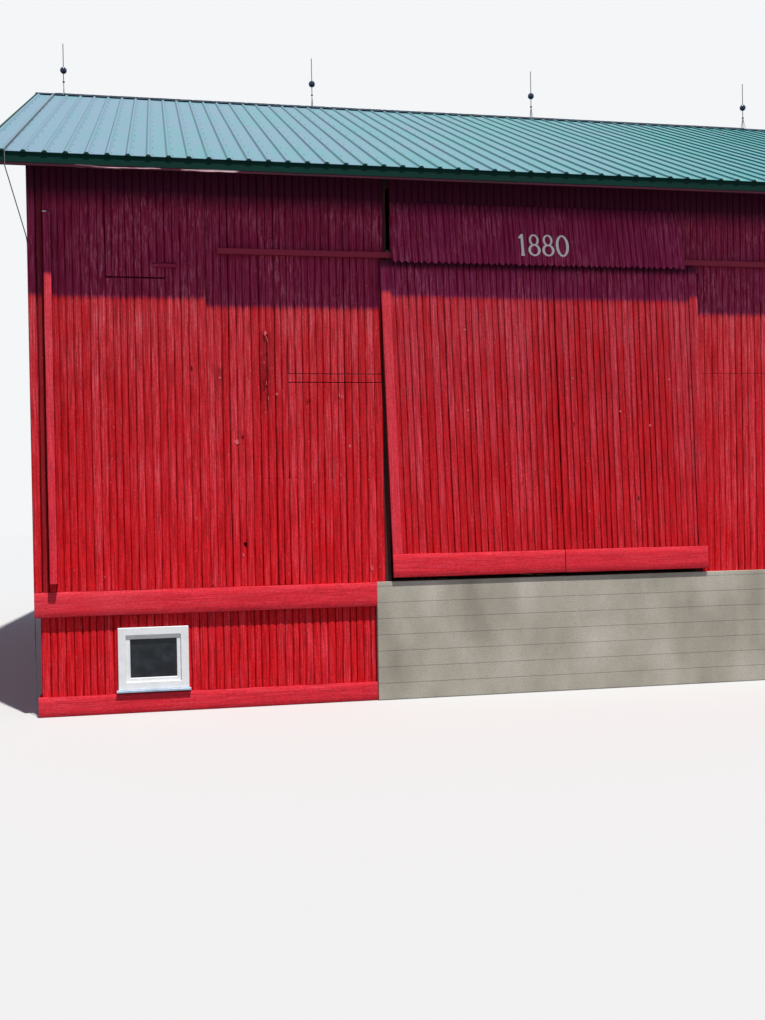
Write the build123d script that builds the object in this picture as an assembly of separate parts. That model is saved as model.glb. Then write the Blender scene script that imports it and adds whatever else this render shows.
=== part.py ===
from build123d import *
import math
import os

# A red board-clad barn that stands against a bank.
# X runs along the front wall, +Y goes into the barn, Z is up, all in millimetres.
# The origin is at ground level, in the middle of the plan.

# Plan of the building, to the outer face of the main storey's boards
barn_length = 12520.0
barn_depth = 12600.0

# Heights: the floor above the ground, the doorway, the eaves over it and the roof's rise
floor_top = 1460.0
doorway_height = 3900.0
eave_over_doorway = 1080.0
roof_rise = 3050.0

# Roof overhangs
eave_overhang = 500.0
gable_overhang = 520.0

# Board walls
siding = 30.0
overlay = 28.0
overlay_from_corner = 2012.0
corner_board_width = 90.0
corner_board_thickness = 30.0

# Boards round the foot of the building and at the floor's level
base_board_height = 230.0
base_board_thickness = 38.0
skirt_height = 295.0
skirt_proud = 30.0

# Floor and the timbers that carry it
floor_thickness = 50.0
timber = 200.0
beam_depth = 200.0
inner_row = 2100.0

# Masonry along the bank side
foundation_thickness = 400.0
foundation_past_doorway = 115.0
foundation_proud = 30.0

# Doorway and the two sliding leaves
doorway_half = 2115.0
board_past_corner = 38.0
jamb_reveal = 85.0
leaf_bottom_gap = 50.0
leaf_lap = 60.0
leaf_lean = 110.0
left_leaf_lap = 18.0
right_leaf_inset = 50.0
seam_at_top = 98.0
leaf_slide = 1960.0
leaf_gap = 8.0
leaf_board = 20.0
leaf_standoff = 30.0
leaf_ledge_width = 140.0
leaf_ledge_rows = 4
leaf_stile_width = 125.0
leaf_stile_thickness = 15.0
leaf_foot_board_height = 290.0

# Track on the wall's face and the hangers that run in it
track_overrun = 17.0
track_height = 70.0
track_wall = 4.0
track_slot = 20.0
track_lift = 28.0
hanger_strap = 10.0
hanger_strap_width = 60.0
hanger_inset = 260.0
hanger_foot_length = 160.0
hanger_foot_thickness = 6.0
wheel_radius = 25.0
wheel_width = 14.0
wheel_clearance = 0.3

# Hood over the doorway
hood_left_inset = 125.0
hood_right_inset = 250.0
hood_lap = 60.0
hood_below_eave = 290.0
hood_flare = 150.0
hood_board = 22.0
hood_bracket_count = 5
hood_bracket_clearance = 70.0
hood_bracket_thickness = 50.0

# Hatch high in the left bay
hatch_from_corner = 1188.0
hatch_width = 692.0
hatch_height = 980.0
hatch_below_eave = 320.0
hatch_gap = 6.0
hatch_lap = 40.0
hatch_backing = 20.0
latch_length = 303.0
latch_lap = 148.0
latch_rise = 157.0
latch_width = 70.0
latch_thickness = 22.0

# Boxed conduit near the left corner
conduit_from_corner = 198.0
conduit_width = 88.0
conduit_proud = 80.0
conduit_above_floor = 100.0
conduit_below_eave = 567.0

# Basement window
window_from_corner = 1317.0
window_base_height = 270.0
window_width = 825.0
window_height = 740.0
window_casing = 90.0
window_casing_proud = 30.0
window_lap = 40.0
window_depth = 55.0
sash_border = 50.0
sash_depth = 45.0
sash_setback = 20.0
glass_thickness = 6.0
sill_height = 25.0
sill_depth = 70.0
sill_ear = 20.0

# Timber frame
rafter_notch = 18.0
girt_depth = 100.0
girt_height = 150.0
girt_spacing = 1245.0
girt_rows = 2
header_height = 200.0

# Roof covering and its carpentry
roof_sheet = 4.0
rib_pitch = 228.6
rib_height = 19.0
rib_foot = 62.0
rib_crown = 20.0
rib_offset = -89.2
roof_deck = 25.0
rafter_depth = 120.0
rafter_width = 60.0
rafter_count = 15
cap_width = 360.0
cap_thickness = 3.0
trim_thickness = 3.0
trim_setback = 15.0
eave_trim_height = 118.0
fascia_thickness = 25.0
fascia_drip = 5.0
soffit_thickness = 20.0
rake_board_drip = 11.0
rake_trim_depth = 110.0
rake_trim_width = 28.0

# Lightning rods and their cable
rod_end_inset = 460.0
rod_bay_inset = 85.0
rod_height = 850.0
rod_radius = 7.0
ball_radius = 57.5
ball_height = 395.0
knob_radius = 20.0
knob_height = 200.0
leg_radius = 5.0
leg_spread = 100.0
leg_height = 200.0
cable_radius = 6.0
cable_inset = 320.0
cable_ridge_offset = 40.0
cable_wall_gap = 39.0
cable_corner_distance = 150.0
cable_above_floor = 4140.0
cable_ridge_bend = 50.0
cable_eave_bend = 30.0
cable_wall_bend = 200.0
clip_size = 20.0
clip_end_distance = 200.0
clip_count = 4

# Sizes worked out from the ones above
half_length = barn_length / 2
half_depth = barn_depth / 2
frame_x = half_length - siding
frame_y = half_depth - siding
under_x = frame_x - siding
under_y = frame_y - siding
floor_bottom = floor_top - floor_thickness
sill_bottom = floor_bottom - beam_depth
doorway_top = floor_top + doorway_height
eave_height = doorway_top + eave_over_doorway
roof_run = half_depth + eave_overhang
roof_half = half_length + gable_overhang
slope = roof_rise / roof_run
slope_cos = math.cos(math.atan(slope))
deck_foot = roof_sheet + roof_deck
rafter_foot = deck_foot + rafter_depth
tail_foot = rafter_foot - soffit_thickness
trim_face = -(roof_run - trim_setback)
fascia_face = trim_face + trim_thickness
fascia_back = fascia_face + fascia_thickness
deck_half = roof_half - fascia_thickness
leaf_bottom = floor_top + leaf_bottom_gap
leaf_top = doorway_top + leaf_lap
leaf_height = leaf_top - leaf_bottom
leaf_front = -(half_depth + leaf_standoff + leaf_board)
leaf_middle = leaf_front + leaf_board
leaf_back = leaf_middle + leaf_board
track_bottom = leaf_top + track_lift
track_front = -half_depth - 2 * leaf_standoff
hood_top = eave_height - hood_below_eave
hood_bottom = leaf_top - hood_lap
hatch_top = eave_height - hatch_below_eave
hatch_bottom = hatch_top - hatch_height
hatch_centre = -half_length + hatch_from_corner
window_centre = -half_length + window_from_corner
foundation_start = -doorway_half - foundation_past_doorway
bay_half = doorway_half - jamb_reveal + timber / 2
left_leaf_edge = -doorway_half - left_leaf_lap
right_leaf_edge = doorway_half - right_leaf_inset
track_start = left_leaf_edge - leaf_slide - track_overrun
track_end = right_leaf_edge + leaf_slide + track_overrun
hood_start = -doorway_half + hood_left_inset
hood_end = doorway_half - hood_right_inset
rod_end_x = roof_half - rod_end_inset
rod_inner_x = bay_half - rod_bay_inset


def block(x_low, x_high, y_low, y_high, z_low, z_high):
    """A rectangular piece between two corners."""
    box = Box(x_high - x_low, y_high - y_low, z_high - z_low, align=(Align.MIN, Align.MIN, Align.MIN))
    return Pos(x_low, y_low, z_low) * box


def along_x(points, x_low, x_high):
    """A piece with an outline in Y and Z that runs along X."""
    outline = Plane.YZ.offset(x_low) * make_face(Polyline(*points, close=True))
    return extrude(outline, amount=x_high - x_low)


def along_y(points, y_low, y_high):
    """A piece with an outline in X and Z that runs along Y."""
    outline = Plane.XZ.offset(-y_low) * make_face(Polyline(*points, close=True))
    return extrude(outline, amount=y_high - y_low, dir=(0, 1, 0))


def mirrored(shape):
    """The same piece on the back half of the barn."""
    return mirror(shape, about=Plane.XZ)


def other_end(shape):
    """The same piece at the other gable."""
    return mirror(shape, about=Plane.YZ)


def roof_z(y, offset=0.0):
    """Height of a plane that lies an offset below the roof's pan."""
    return eave_height + (roof_run - abs(y)) * slope - offset / slope_cos


def beam_top(y_outer):
    """Top of a beam that the rafters are notched over, from its outer face."""
    return roof_z(y_outer, rafter_foot) + rafter_notch


def wall_top(proud=0.0):
    """Top of a board on the front wall, where its face meets the underside of the soffit."""
    return roof_z(half_depth + proud, rafter_foot)


def roof_y(z, offset):
    """Place on the front slope where a plane below the pan reaches a height."""
    return (z - roof_z(roof_run, offset)) / slope - roof_run


def save(name, *solids):
    """Write one node."""
    shape = solids[0] if len(solids) == 1 else Compound(children=list(solids))
    export_step(shape, f"parts/{name}.step")


def spread(first, last, count):
    """Evenly spaced places from first to last."""
    step = (last - first) / (count - 1)
    return [first + step * number for number in range(count)]


def roof_band(y_low, y_high, top_offset, bottom_offset):
    """Outline of a layer on the front slope, with plumb ends."""
    return [
        (y_low, roof_z(y_low, top_offset)),
        (y_high, roof_z(y_high, top_offset)),
        (y_high, roof_z(y_high, bottom_offset)),
        (y_low, roof_z(y_low, bottom_offset)),
    ]


plate_top = beam_top(frame_y)
plate_bottom = plate_top - timber
purlin_top = beam_top(inner_row + timber / 2)


def build_lower_walls():
    """Masonry on the bank side and board walls on the others."""
    outer_y = half_depth + foundation_proud
    outer_x = half_length + foundation_proud
    inner_y = outer_y - foundation_thickness
    wall = block(foundation_start, outer_x, -outer_y, -inner_y, 0, floor_top)
    pocket = block(foundation_start, frame_x, -frame_y, -inner_y, sill_bottom, floor_top)
    save("foundation_wall", wall - pocket)

    front = block(-frame_x, foundation_start, -frame_y, -under_y, 0, sill_bottom)
    save("basement_front_wall", front - window_hole())
    left = block(-frame_x, -under_x, -under_y, under_y, 0, sill_bottom)
    right = block(under_x, frame_x, -inner_y, under_y, 0, sill_bottom)
    save("basement_side_walls", left, right)
    save("basement_back_wall", block(-frame_x, frame_x, under_y, frame_y, 0, sill_bottom))
    for name, proud, bottom, top in [
        ("base_boards", base_board_thickness, 0, base_board_height),
        ("skirt_boards", siding + skirt_proud, floor_top - skirt_height, floor_top),
    ]:
        far_x = frame_x + proud
        far_y = frame_y + proud
        front = block(-far_x, foundation_start, -far_y, -frame_y, bottom, top)
        back = block(-far_x, far_x, frame_y, far_y, bottom, top)
        save(f"front_and_back_{name}", front, back)
        left = block(-far_x, -frame_x, -frame_y, frame_y, bottom, top)
        right = block(frame_x, far_x, -inner_y, frame_y, bottom, top)
        save(f"side_{name}", left, right)


def window_hole():
    """The cut in the boards that the window's casing lines."""
    half = window_width / 2 - window_lap
    bottom = window_base_height + window_lap
    top = window_base_height + window_height - window_lap
    return block(window_centre - half, window_centre + half, -half_depth, -under_y + siding, bottom, top)


def window_block(inset, y_low, y_high):
    """A block inside the window's outline, set in by the same amount on every side."""
    half = window_width / 2 - inset
    top = window_base_height + window_height - inset
    return block(window_centre - half, window_centre + half, y_low, y_high, window_base_height + inset, top)


def build_window():
    """White casing, sash and glass of the low window, with its sill."""
    front = -(frame_y + window_casing_proud)
    back = -frame_y + window_depth
    flange = window_block(0, front, -frame_y)
    lining = window_block(window_lap, -frame_y, back)
    save("window_frame", flange + lining - window_block(window_casing, front, back))

    sash_front = front + sash_setback
    sash = window_block(window_casing, sash_front, sash_front + sash_depth)
    glass_inset = window_casing + sash_border
    save("window_sash", sash - window_block(glass_inset, sash_front, sash_front + sash_depth))
    glass_front = sash_front + (sash_depth - glass_thickness) / 2
    save("window_glass", window_block(glass_inset, glass_front, glass_front + glass_thickness))
    half = window_width / 2 + sill_ear
    sill = block(
        window_centre - half,
        window_centre + half,
        -(frame_y + sill_depth),
        -frame_y,
        window_base_height - sill_height,
        window_base_height,
    )
    save("window_sill", sill)


def build_floor():
    """The plank floor, the timbers under it and their posts."""
    save("main_floor", block(-frame_x, frame_x, -frame_y, frame_y, floor_bottom, floor_top))
    ring = block(-frame_x, frame_x, -frame_y, frame_y, sill_bottom, floor_bottom)
    inner_x = frame_x - timber
    inner_y = frame_y - timber
    frame = ring - block(-inner_x, inner_x, -inner_y, inner_y, sill_bottom, floor_bottom)
    half = timber / 2
    for row in (-inner_row, inner_row):
        frame += block(-inner_x, inner_x, row - half, row + half, sill_bottom, floor_bottom)
    corner_x = under_x - half
    corner_y = under_y - half
    for x in (-corner_x, -bay_half, bay_half, corner_x):
        for y in (-corner_y, -inner_row, inner_row, corner_y):
            on_masonry = y == -corner_y and x > foundation_start - half
            if not on_masonry:
                frame += block(x - half, x + half, y - half, y + half, 0, sill_bottom)
    save("floor_frame", frame)


def build_main_walls():
    """Board walls of the main storey, split round the doorway, with a slot left of the hood."""
    top = wall_top()
    left = block(-half_length, -doorway_half, -half_depth, -frame_y, floor_top, top)
    past = -doorway_half + board_past_corner
    left += block(-doorway_half, past, -half_depth, -frame_y, doorway_top, top)
    overlay_start = -(half_length + corner_board_thickness) + corner_board_width
    overlay_end = -half_length + overlay_from_corner
    overlay_top = wall_top(overlay)
    left += block(overlay_start, overlay_end, -half_depth - overlay, -half_depth, floor_top, overlay_top)
    left -= hatch_block(0, -half_depth - overlay, -frame_y)
    save("front_wall_left", left)
    save("front_wall_right", block(doorway_half, half_length, -half_depth, -frame_y, floor_top, top))
    save("front_wall_head", block(hood_start, doorway_half, -half_depth, -frame_y, doorway_top, top))
    save("back_wall", block(-half_length, half_length, frame_y, half_depth, floor_top, top))

    gable = [
        (-frame_y, floor_top),
        (frame_y, floor_top),
        (frame_y, roof_z(frame_y, deck_foot)),
        (0, roof_z(0, deck_foot)),
        (-frame_y, roof_z(frame_y, deck_foot)),
    ]
    left_gable = along_x(gable, -half_length, -frame_x)
    save("gable_walls", left_gable, other_end(left_gable))

    outer_x = half_length + corner_board_thickness
    outer_y = half_depth + corner_board_thickness
    reach = corner_board_width
    corner_top = wall_top(corner_board_thickness)
    corner = block(-outer_x, -outer_x + reach, -outer_y, -outer_y + reach, floor_top, corner_top)
    corner -= block(-half_length, 0, -half_depth, 0, floor_top, corner_top)
    boards = [corner, other_end(corner), mirrored(corner), other_end(mirrored(corner))]
    save("corner_boards", *boards)

    front = -half_depth - overlay
    start = -half_length + conduit_from_corner - conduit_width / 2
    bottom = floor_top + conduit_above_floor
    box_top = eave_height - conduit_below_eave
    box = block(start, start + conduit_width, front - conduit_proud, front, bottom, box_top)
    save("boxed_conduit", box)


def hatch_block(inset, y_low, y_high):
    """A block on the hatch's outline, set in by the same amount on every side."""
    half = hatch_width / 2 - inset
    low = hatch_bottom + inset
    high = hatch_top - inset
    return block(hatch_centre - half, hatch_centre + half, y_low, y_high, low, high)


def build_hatch():
    """The board hatch that fills its hole, lapped behind the boards, and the latch that holds it."""
    front = -half_depth - overlay
    panel = hatch_block(hatch_gap, front, -frame_y)
    panel += hatch_block(-hatch_lap, -frame_y, -frame_y + hatch_backing)
    latch_start = hatch_centre + hatch_width / 2 - latch_lap
    latch_bottom = hatch_bottom + latch_rise - latch_width / 2
    panel += block(
        latch_start,
        latch_start + latch_length,
        front - latch_thickness,
        front,
        latch_bottom,
        latch_bottom + latch_width,
    )
    save("hatch", panel)


def build_timber_frame():
    """Posts, beams, purlins and girts that the boards and the roof are fixed to."""
    half = timber / 2
    bents = [-(frame_x - half), -bay_half, bay_half, frame_x - half]
    wall_rows = [-(frame_y - half), frame_y - half]
    inner_rows = [-inner_row, inner_row]

    def posts(rows, bottom, top):
        return [block(x - half, x + half, y - half, y + half, bottom, top) for x in bents for y in rows]

    save("wall_posts", *posts(wall_rows, floor_top, plate_bottom))
    below_ties = posts(inner_rows, floor_top, plate_bottom)
    above_ties = posts(inner_rows, plate_top, purlin_top - timber)
    save("inner_posts", *below_ties, *above_ties)

    front_plate = block(-frame_x, frame_x, -frame_y, -frame_y + timber, plate_bottom, plate_top)
    front_purlin = purlin(-inner_row)
    save("plates_and_purlins", front_plate, mirrored(front_plate), front_purlin, mirrored(front_purlin))
    tie_reach = frame_y - timber
    ties = [block(x - half, x + half, -tie_reach, tie_reach, plate_bottom, plate_top) for x in bents]
    save("tie_beams", *ties)

    girts = []
    bays = list(zip(bents[:-1], bents[1:]))
    side_rows = [wall_rows[0], *inner_rows, wall_rows[1]]
    side_bays = list(zip(side_rows[:-1], side_rows[1:]))
    for row in range(1, girt_rows + 1):
        level = floor_top + girt_spacing * row
        top = level + girt_height
        for number, (low, high) in enumerate(bays):
            at_back = block(low + half, high - half, frame_y - girt_depth, frame_y, level, top)
            girts.append(at_back)
            if number != 1:
                girts.append(mirrored(at_back))
        for low, high in side_bays:
            at_left = block(-frame_x, -frame_x + girt_depth, low + half, high - half, level, top)
            girts.append(at_left)
            girts.append(other_end(at_left))
    clear = doorway_half - jamb_reveal
    girts.append(block(-clear, clear, -frame_y, -frame_y + timber, doorway_top, doorway_top + header_height))
    save("wall_girts", *girts)


def purlin(row):
    """The beam under the middle of one slope."""
    half = timber / 2
    return block(-frame_x, frame_x, row - half, row + half, purlin_top - timber, purlin_top)


def build_roof():
    """Rafters, deck, ribbed sheet and ridge cap."""
    rafter = roof_band(fascia_back, 0, deck_foot, rafter_foot)
    plate = block(-frame_x, frame_x, -frame_y, -frame_y + timber, plate_bottom, plate_top)
    below_tail = along_x(roof_band(fascia_back, -frame_y, tail_foot, 2 * rafter_foot), -roof_half, roof_half)
    end_x = frame_x - rafter_width / 2
    rafters = []
    for x in spread(-end_x, end_x, rafter_count):
        whole = along_x(rafter, x - rafter_width / 2, x + rafter_width / 2)
        rafters.append(whole - plate - purlin(-inner_row) - below_tail)
    save("front_rafters", *rafters)
    save("back_rafters", *[mirrored(one) for one in rafters])

    deck = along_x(roof_band(fascia_face, 0, roof_sheet, deck_foot), -deck_half, deck_half)
    save("front_roof_deck", deck)
    save("back_roof_deck", mirrored(deck))

    sheet = ribbed_sheet()
    save("front_roof_sheet", sheet)
    save("back_roof_sheet", mirrored(sheet))

    half_cap = cap_width / 2
    cap_low = -rib_height
    cap_high = -(rib_height + cap_thickness)
    cap = along_x(
        [
            (-half_cap, roof_z(half_cap, cap_low)),
            (0, roof_z(0, cap_low)),
            (half_cap, roof_z(half_cap, cap_low)),
            (half_cap, roof_z(half_cap, cap_high)),
            (0, roof_z(0, cap_high)),
            (-half_cap, roof_z(half_cap, cap_high)),
        ],
        -roof_half,
        roof_half,
    )
    save("ridge_cap", cap)


def ribbed_sheet():
    """One slope of metal, with its ribs running from eave to ridge."""
    bottom = roof_z(roof_run, roof_sheet)
    crown = roof_z(roof_run, -rib_height)
    points = [(-roof_half, bottom), (-roof_half, eave_height)]
    last_rib = math.floor((roof_half - rib_foot / 2 - rib_offset) / rib_pitch)
    first_rib = -math.floor((roof_half - rib_foot / 2 + rib_offset) / rib_pitch)
    for number in range(first_rib, last_rib + 1):
        middle = rib_offset + number * rib_pitch
        points.append((middle - rib_foot / 2, eave_height))
        points.append((middle - rib_crown / 2, crown))
        points.append((middle + rib_crown / 2, crown))
        points.append((middle + rib_foot / 2, eave_height))
    points.append((roof_half, eave_height))
    points.append((roof_half, bottom))
    outline = Plane.XZ.offset(roof_run) * make_face(Polyline(*points, close=True))
    return extrude(outline, amount=math.hypot(roof_run, roof_rise), dir=(0, roof_run, roof_rise))


def build_roof_edges():
    """Fascia, trims, and the sloping soffits that line the overhangs."""
    trim_top = roof_z(trim_face, roof_sheet)
    trim_foot = eave_height - eave_trim_height
    trim = block(-roof_half, roof_half, trim_face, fascia_face, trim_foot, trim_top)
    save("eave_trims", trim, mirrored(trim))
    fascia_top = roof_z(fascia_face, deck_foot)
    fascia_foot = roof_z(fascia_back, rafter_foot) - fascia_drip
    fascia = block(-deck_half, deck_half, fascia_face, fascia_back, fascia_foot, fascia_top)
    save("fascia_boards", fascia, mirrored(fascia))

    soffit = along_x(roof_band(fascia_back, -frame_y, tail_foot, rafter_foot), -half_length, half_length)
    save("eave_soffits", soffit, mirrored(soffit))

    board_foot = rafter_foot + rake_board_drip
    board = along_x(
        [
            (fascia_face, fascia_foot),
            (roof_y(fascia_foot, board_foot), fascia_foot),
            (0, roof_z(0, board_foot)),
            (0, roof_z(0, roof_sheet)),
            (fascia_face, roof_z(fascia_face, roof_sheet)),
        ],
        -roof_half,
        -deck_half,
    )
    boards = board + mirrored(board)
    save("rake_boards", boards, other_end(boards))

    top = -trim_thickness
    upright = along_x(
        roof_band(trim_face, 0, top, rake_trim_depth), -roof_half - trim_thickness, -roof_half
    )
    ledge = along_x(roof_band(trim_face, 0, top, 0), -roof_half, -roof_half + rake_trim_width)
    rake = upright + ledge
    whole_rake = rake + mirrored(rake)
    save("rake_trims", whole_rake, other_end(whole_rake))

    slab = along_x(roof_band(fascia_back, 0, tail_foot, rafter_foot), -deck_half, -half_length)
    lining = slab + mirrored(slab)
    save("rake_soffits", lining, other_end(lining))


def leaf_outline(top_left, top_right, z_low, z_high):
    """An upright outline in X and Z that leans as the racked leaves do."""

    def lean(z):
        return leaf_lean * (leaf_top - z) / leaf_height

    return [
        (top_left + lean(z_low), z_low),
        (top_right + lean(z_low), z_low),
        (top_right + lean(z_high), z_high),
        (top_left + lean(z_high), z_high),
    ]


def build_leaf(side, left, right):
    """One sliding leaf: boards, ledges behind, outer stile, foot board and hangers."""
    foot_top = leaf_bottom + leaf_foot_board_height
    front = leaf_front
    panel = along_y(leaf_outline(left, right, leaf_bottom, leaf_top), front, leaf_middle)
    foot_front = front - leaf_board
    foot = along_y(leaf_outline(left, right, leaf_bottom, foot_top), foot_front, front)
    save(f"{side}_door_foot_board", foot)

    for bottom in spread(leaf_bottom, leaf_top - leaf_ledge_width, leaf_ledge_rows):
        outline = leaf_outline(left, right, bottom, bottom + leaf_ledge_width)
        panel += along_y(outline, leaf_middle, leaf_back)
    save(f"{side}_door_panel", panel)

    stile_left = left if side == "left" else right - leaf_stile_width
    stile = leaf_outline(stile_left, stile_left + leaf_stile_width, foot_top, leaf_top)
    save(f"{side}_door_stile", along_y(stile, front - leaf_stile_thickness, front))
    save(f"{side}_door_hangers", *[hanger(x) for x in (left + hanger_inset, right - hanger_inset)])


def hanger(x):
    """A strap on the leaf's top edge, with a pair of wheels inside the track."""
    axle_z = track_bottom + track_wall + wheel_clearance + wheel_radius
    half_strap = hanger_strap / 2
    half_foot = hanger_foot_length / 2
    half_width = hanger_strap_width / 2
    foot_top = leaf_top + hanger_foot_thickness
    strap_top = axle_z + wheel_radius / 2
    strap_front = leaf_middle - half_strap
    strap_back = leaf_middle + half_strap
    piece = block(x - half_foot, x + half_foot, leaf_front, leaf_back, leaf_top, foot_top)
    piece += block(x - half_width, x + half_width, strap_front, strap_back, leaf_top, strap_top)
    width = hanger_strap + 2 * wheel_width
    wheel = Pos(x, leaf_middle, axle_z) * Rot(90, 0, 0) * Cylinder(wheel_radius, width)
    return piece + wheel


def build_track_and_hood():
    """The box track on the wall and the sloping hood that sheds rain from it."""
    top = track_bottom + track_height
    lip_top = track_bottom + track_wall
    inner_front = track_front + track_wall
    inner_back = -half_depth - track_wall
    track = block(track_start, track_end, track_front, -half_depth, track_bottom, top)
    track -= block(track_start, track_end, inner_front, inner_back, lip_top, top - track_wall)
    slot = track_slot / 2
    track -= block(track_start, track_end, leaf_middle - slot, leaf_middle + slot, track_bottom, lip_top)
    save("door_track", track)

    back_top = -half_depth
    back_foot = -half_depth - hood_flare
    panel = along_x(
        [
            (back_top - hood_board, hood_top),
            (back_top, hood_top),
            (back_foot, hood_bottom),
            (back_foot - hood_board, hood_bottom),
        ],
        hood_start,
        hood_end,
    )
    save("hood_panel", panel)
    bracket_foot = top + hood_bracket_clearance
    reach = hood_flare * (hood_top - bracket_foot) / (hood_top - hood_bottom)
    triangle = [(back_top, hood_top), (back_top, bracket_foot), (back_top - reach, bracket_foot)]
    half_thickness = hood_bracket_thickness / 2
    first = hood_start + hood_bracket_thickness
    last = hood_end - hood_bracket_thickness
    places = spread(first, last, hood_bracket_count)
    save("hood_brackets", *[along_x(triangle, x - half_thickness, x + half_thickness) for x in places])


def build_lightning_rods():
    """Four rods on the ridge and the cable that earths them."""
    cap_offset = -(rib_height + cap_thickness)
    ridge = roof_z(0, cap_offset)
    foot = roof_z(leg_spread, cap_offset)
    below_cap = along_x(
        [(-roof_run, roof_z(roof_run, cap_offset)), (0, ridge), (roof_run, roof_z(roof_run, cap_offset))],
        -roof_half,
        roof_half,
    )
    rods = []
    balls = []
    for x in (-rod_end_x, -rod_inner_x, rod_inner_x, rod_end_x):
        rod = Pos(x, 0, ridge + rod_height / 2) * Cylinder(rod_radius, rod_height)
        rod += Pos(x, 0, ridge + knob_height) * Sphere(knob_radius)
        for side in (-1, 1):
            leg_start = Vector(x, side * leg_spread, foot - leg_radius)
            leg_end = Vector(x, 0, ridge + leg_height)
            rod += bar(leg_start, leg_end, leg_radius)
        rods.append(rod - below_cap)
        ball = Pos(x, 0, ridge + ball_height) * Sphere(ball_radius)
        balls.append(ball - Pos(x, 0, ridge + ball_height) * Cylinder(rod_radius, 2 * ball_radius))
    save("lightning_rods", *rods)
    save("rod_balls", *balls)


def bar(start, end, radius):
    """A round bar between two points."""
    span = end - start
    section = Plane(origin=start, z_dir=span) * Circle(radius)
    return extrude(section, amount=span.length)


def build_cable():
    """The taut cable from the ridge, down the slope and the gable wall to the ground."""
    lift = -(rib_height + cap_thickness + cable_radius)
    ridge_z = roof_z(cable_ridge_offset, lift)
    cable_x = -roof_half + cable_inset
    drop_y = -(roof_run + cable_radius)
    drop_foot = roof_z(fascia_back, rafter_foot) - fascia_drip - clip_size
    wall_x = -(half_length + cable_wall_gap + cable_radius)
    wall_y = -half_depth + cable_corner_distance
    upright_top = floor_top + cable_above_floor
    points = [
        (rod_end_x, -cable_ridge_offset, ridge_z),
        (cable_x, -cable_ridge_offset, ridge_z),
        (cable_x, drop_y, roof_z(drop_y, lift)),
        (cable_x, drop_y, drop_foot),
        (wall_x, wall_y, upright_top),
        (wall_x, wall_y, 0),
    ]
    bends = [cable_ridge_bend, cable_eave_bend, cable_eave_bend, cable_wall_bend]
    path = FilletPolyline(*points, radius=bends)
    section = Plane(origin=points[0], z_dir=(-1, 0, 0)) * Circle(cable_radius)
    save("lightning_cable", sweep(section, path=path))

    half = clip_size / 2
    first = floor_top + clip_end_distance
    last = upright_top - clip_end_distance
    clips = [
        block(wall_x + cable_radius, -half_length, wall_y - half, wall_y + half, level - half, level + half)
        for level in spread(first, last, clip_count)
    ]
    save("cable_clips", *clips)


os.makedirs("parts", exist_ok=True)
build_lower_walls()
build_window()
build_floor()
build_main_walls()
build_hatch()
build_timber_frame()
build_roof()
build_roof_edges()
build_track_and_hood()
build_leaf("left", left_leaf_edge, seam_at_top)
build_leaf("right", seam_at_top + leaf_gap, right_leaf_edge)
build_lightning_rods()
build_cable()
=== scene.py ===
# %% [markdown]
# # A red board barn under a green metal roof
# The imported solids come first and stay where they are: they give every size and every place.
# The work here is what the eye reads on such a barn: narrow boards with dark joints between them,
# paint that has weathered at a different rate on each board, ribbed metal, and white numerals.
# Every board is a closed piece of its own, because the joints of a real wall come from its boards.

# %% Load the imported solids
import math

import bmesh
import bpy
import numpy as np
from mathutils import Matrix, Vector


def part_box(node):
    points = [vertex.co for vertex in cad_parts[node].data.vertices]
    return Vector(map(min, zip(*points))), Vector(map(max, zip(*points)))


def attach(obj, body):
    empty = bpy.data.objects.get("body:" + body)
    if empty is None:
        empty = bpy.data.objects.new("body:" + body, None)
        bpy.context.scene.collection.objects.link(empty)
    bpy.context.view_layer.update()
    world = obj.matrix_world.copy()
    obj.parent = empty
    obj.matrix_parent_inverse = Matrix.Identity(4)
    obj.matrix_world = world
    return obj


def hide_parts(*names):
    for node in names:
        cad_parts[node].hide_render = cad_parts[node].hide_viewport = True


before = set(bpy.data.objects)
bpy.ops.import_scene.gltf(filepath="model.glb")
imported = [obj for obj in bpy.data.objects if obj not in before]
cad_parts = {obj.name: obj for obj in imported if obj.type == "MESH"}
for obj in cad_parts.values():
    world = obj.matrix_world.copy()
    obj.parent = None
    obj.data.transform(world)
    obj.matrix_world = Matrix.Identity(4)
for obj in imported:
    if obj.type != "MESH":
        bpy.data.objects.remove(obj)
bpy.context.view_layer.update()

# %% [markdown]
# ## Colours and nodes
# Colours are written as they look on a screen and turned to the linear numbers that shaders use.
# One small function adds a node, sets it and links it. The others are short names for the nodes
# that every finish uses, so that a finish reads from top to bottom.


# %% Helpers for colours and nodes
def linear(text):
    """An sRGB hex colour as linear red, green, blue and alpha."""
    parts = [int(text[place:place + 2], 16) / 255 for place in (1, 3, 5)]
    return [part / 12.92 if part <= 0.04045 else ((part + 0.055) / 1.055) ** 2.4 for part in parts] + [1.0]


def fill(node, inputs):
    """Sets or links the inputs of a node. A text is an sRGB hex colour."""
    for socket, value in inputs.items():
        if isinstance(value, bpy.types.NodeSocket):
            node.id_data.links.new(value, node.inputs[socket])
        else:
            node.inputs[socket].default_value = linear(value) if isinstance(value, str) else value


def add(tree, kind, inputs, out=0, **settings):
    """Adds one node with its settings, values and links, and gives one of its outputs."""
    made = tree.nodes.new(kind)
    for name, value in settings.items():
        setattr(made, name, value)
    fill(made, inputs)
    return made.outputs[out]


def calc(tree, operation, *values):
    """One step of arithmetic on numbers or links."""
    return add(tree, "ShaderNodeMath", dict(enumerate(values)), operation=operation)


def product(tree, first, *others):
    """Several values multiplied."""
    for value in others:
        first = calc(tree, "MULTIPLY", first, value)
    return first


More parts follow.
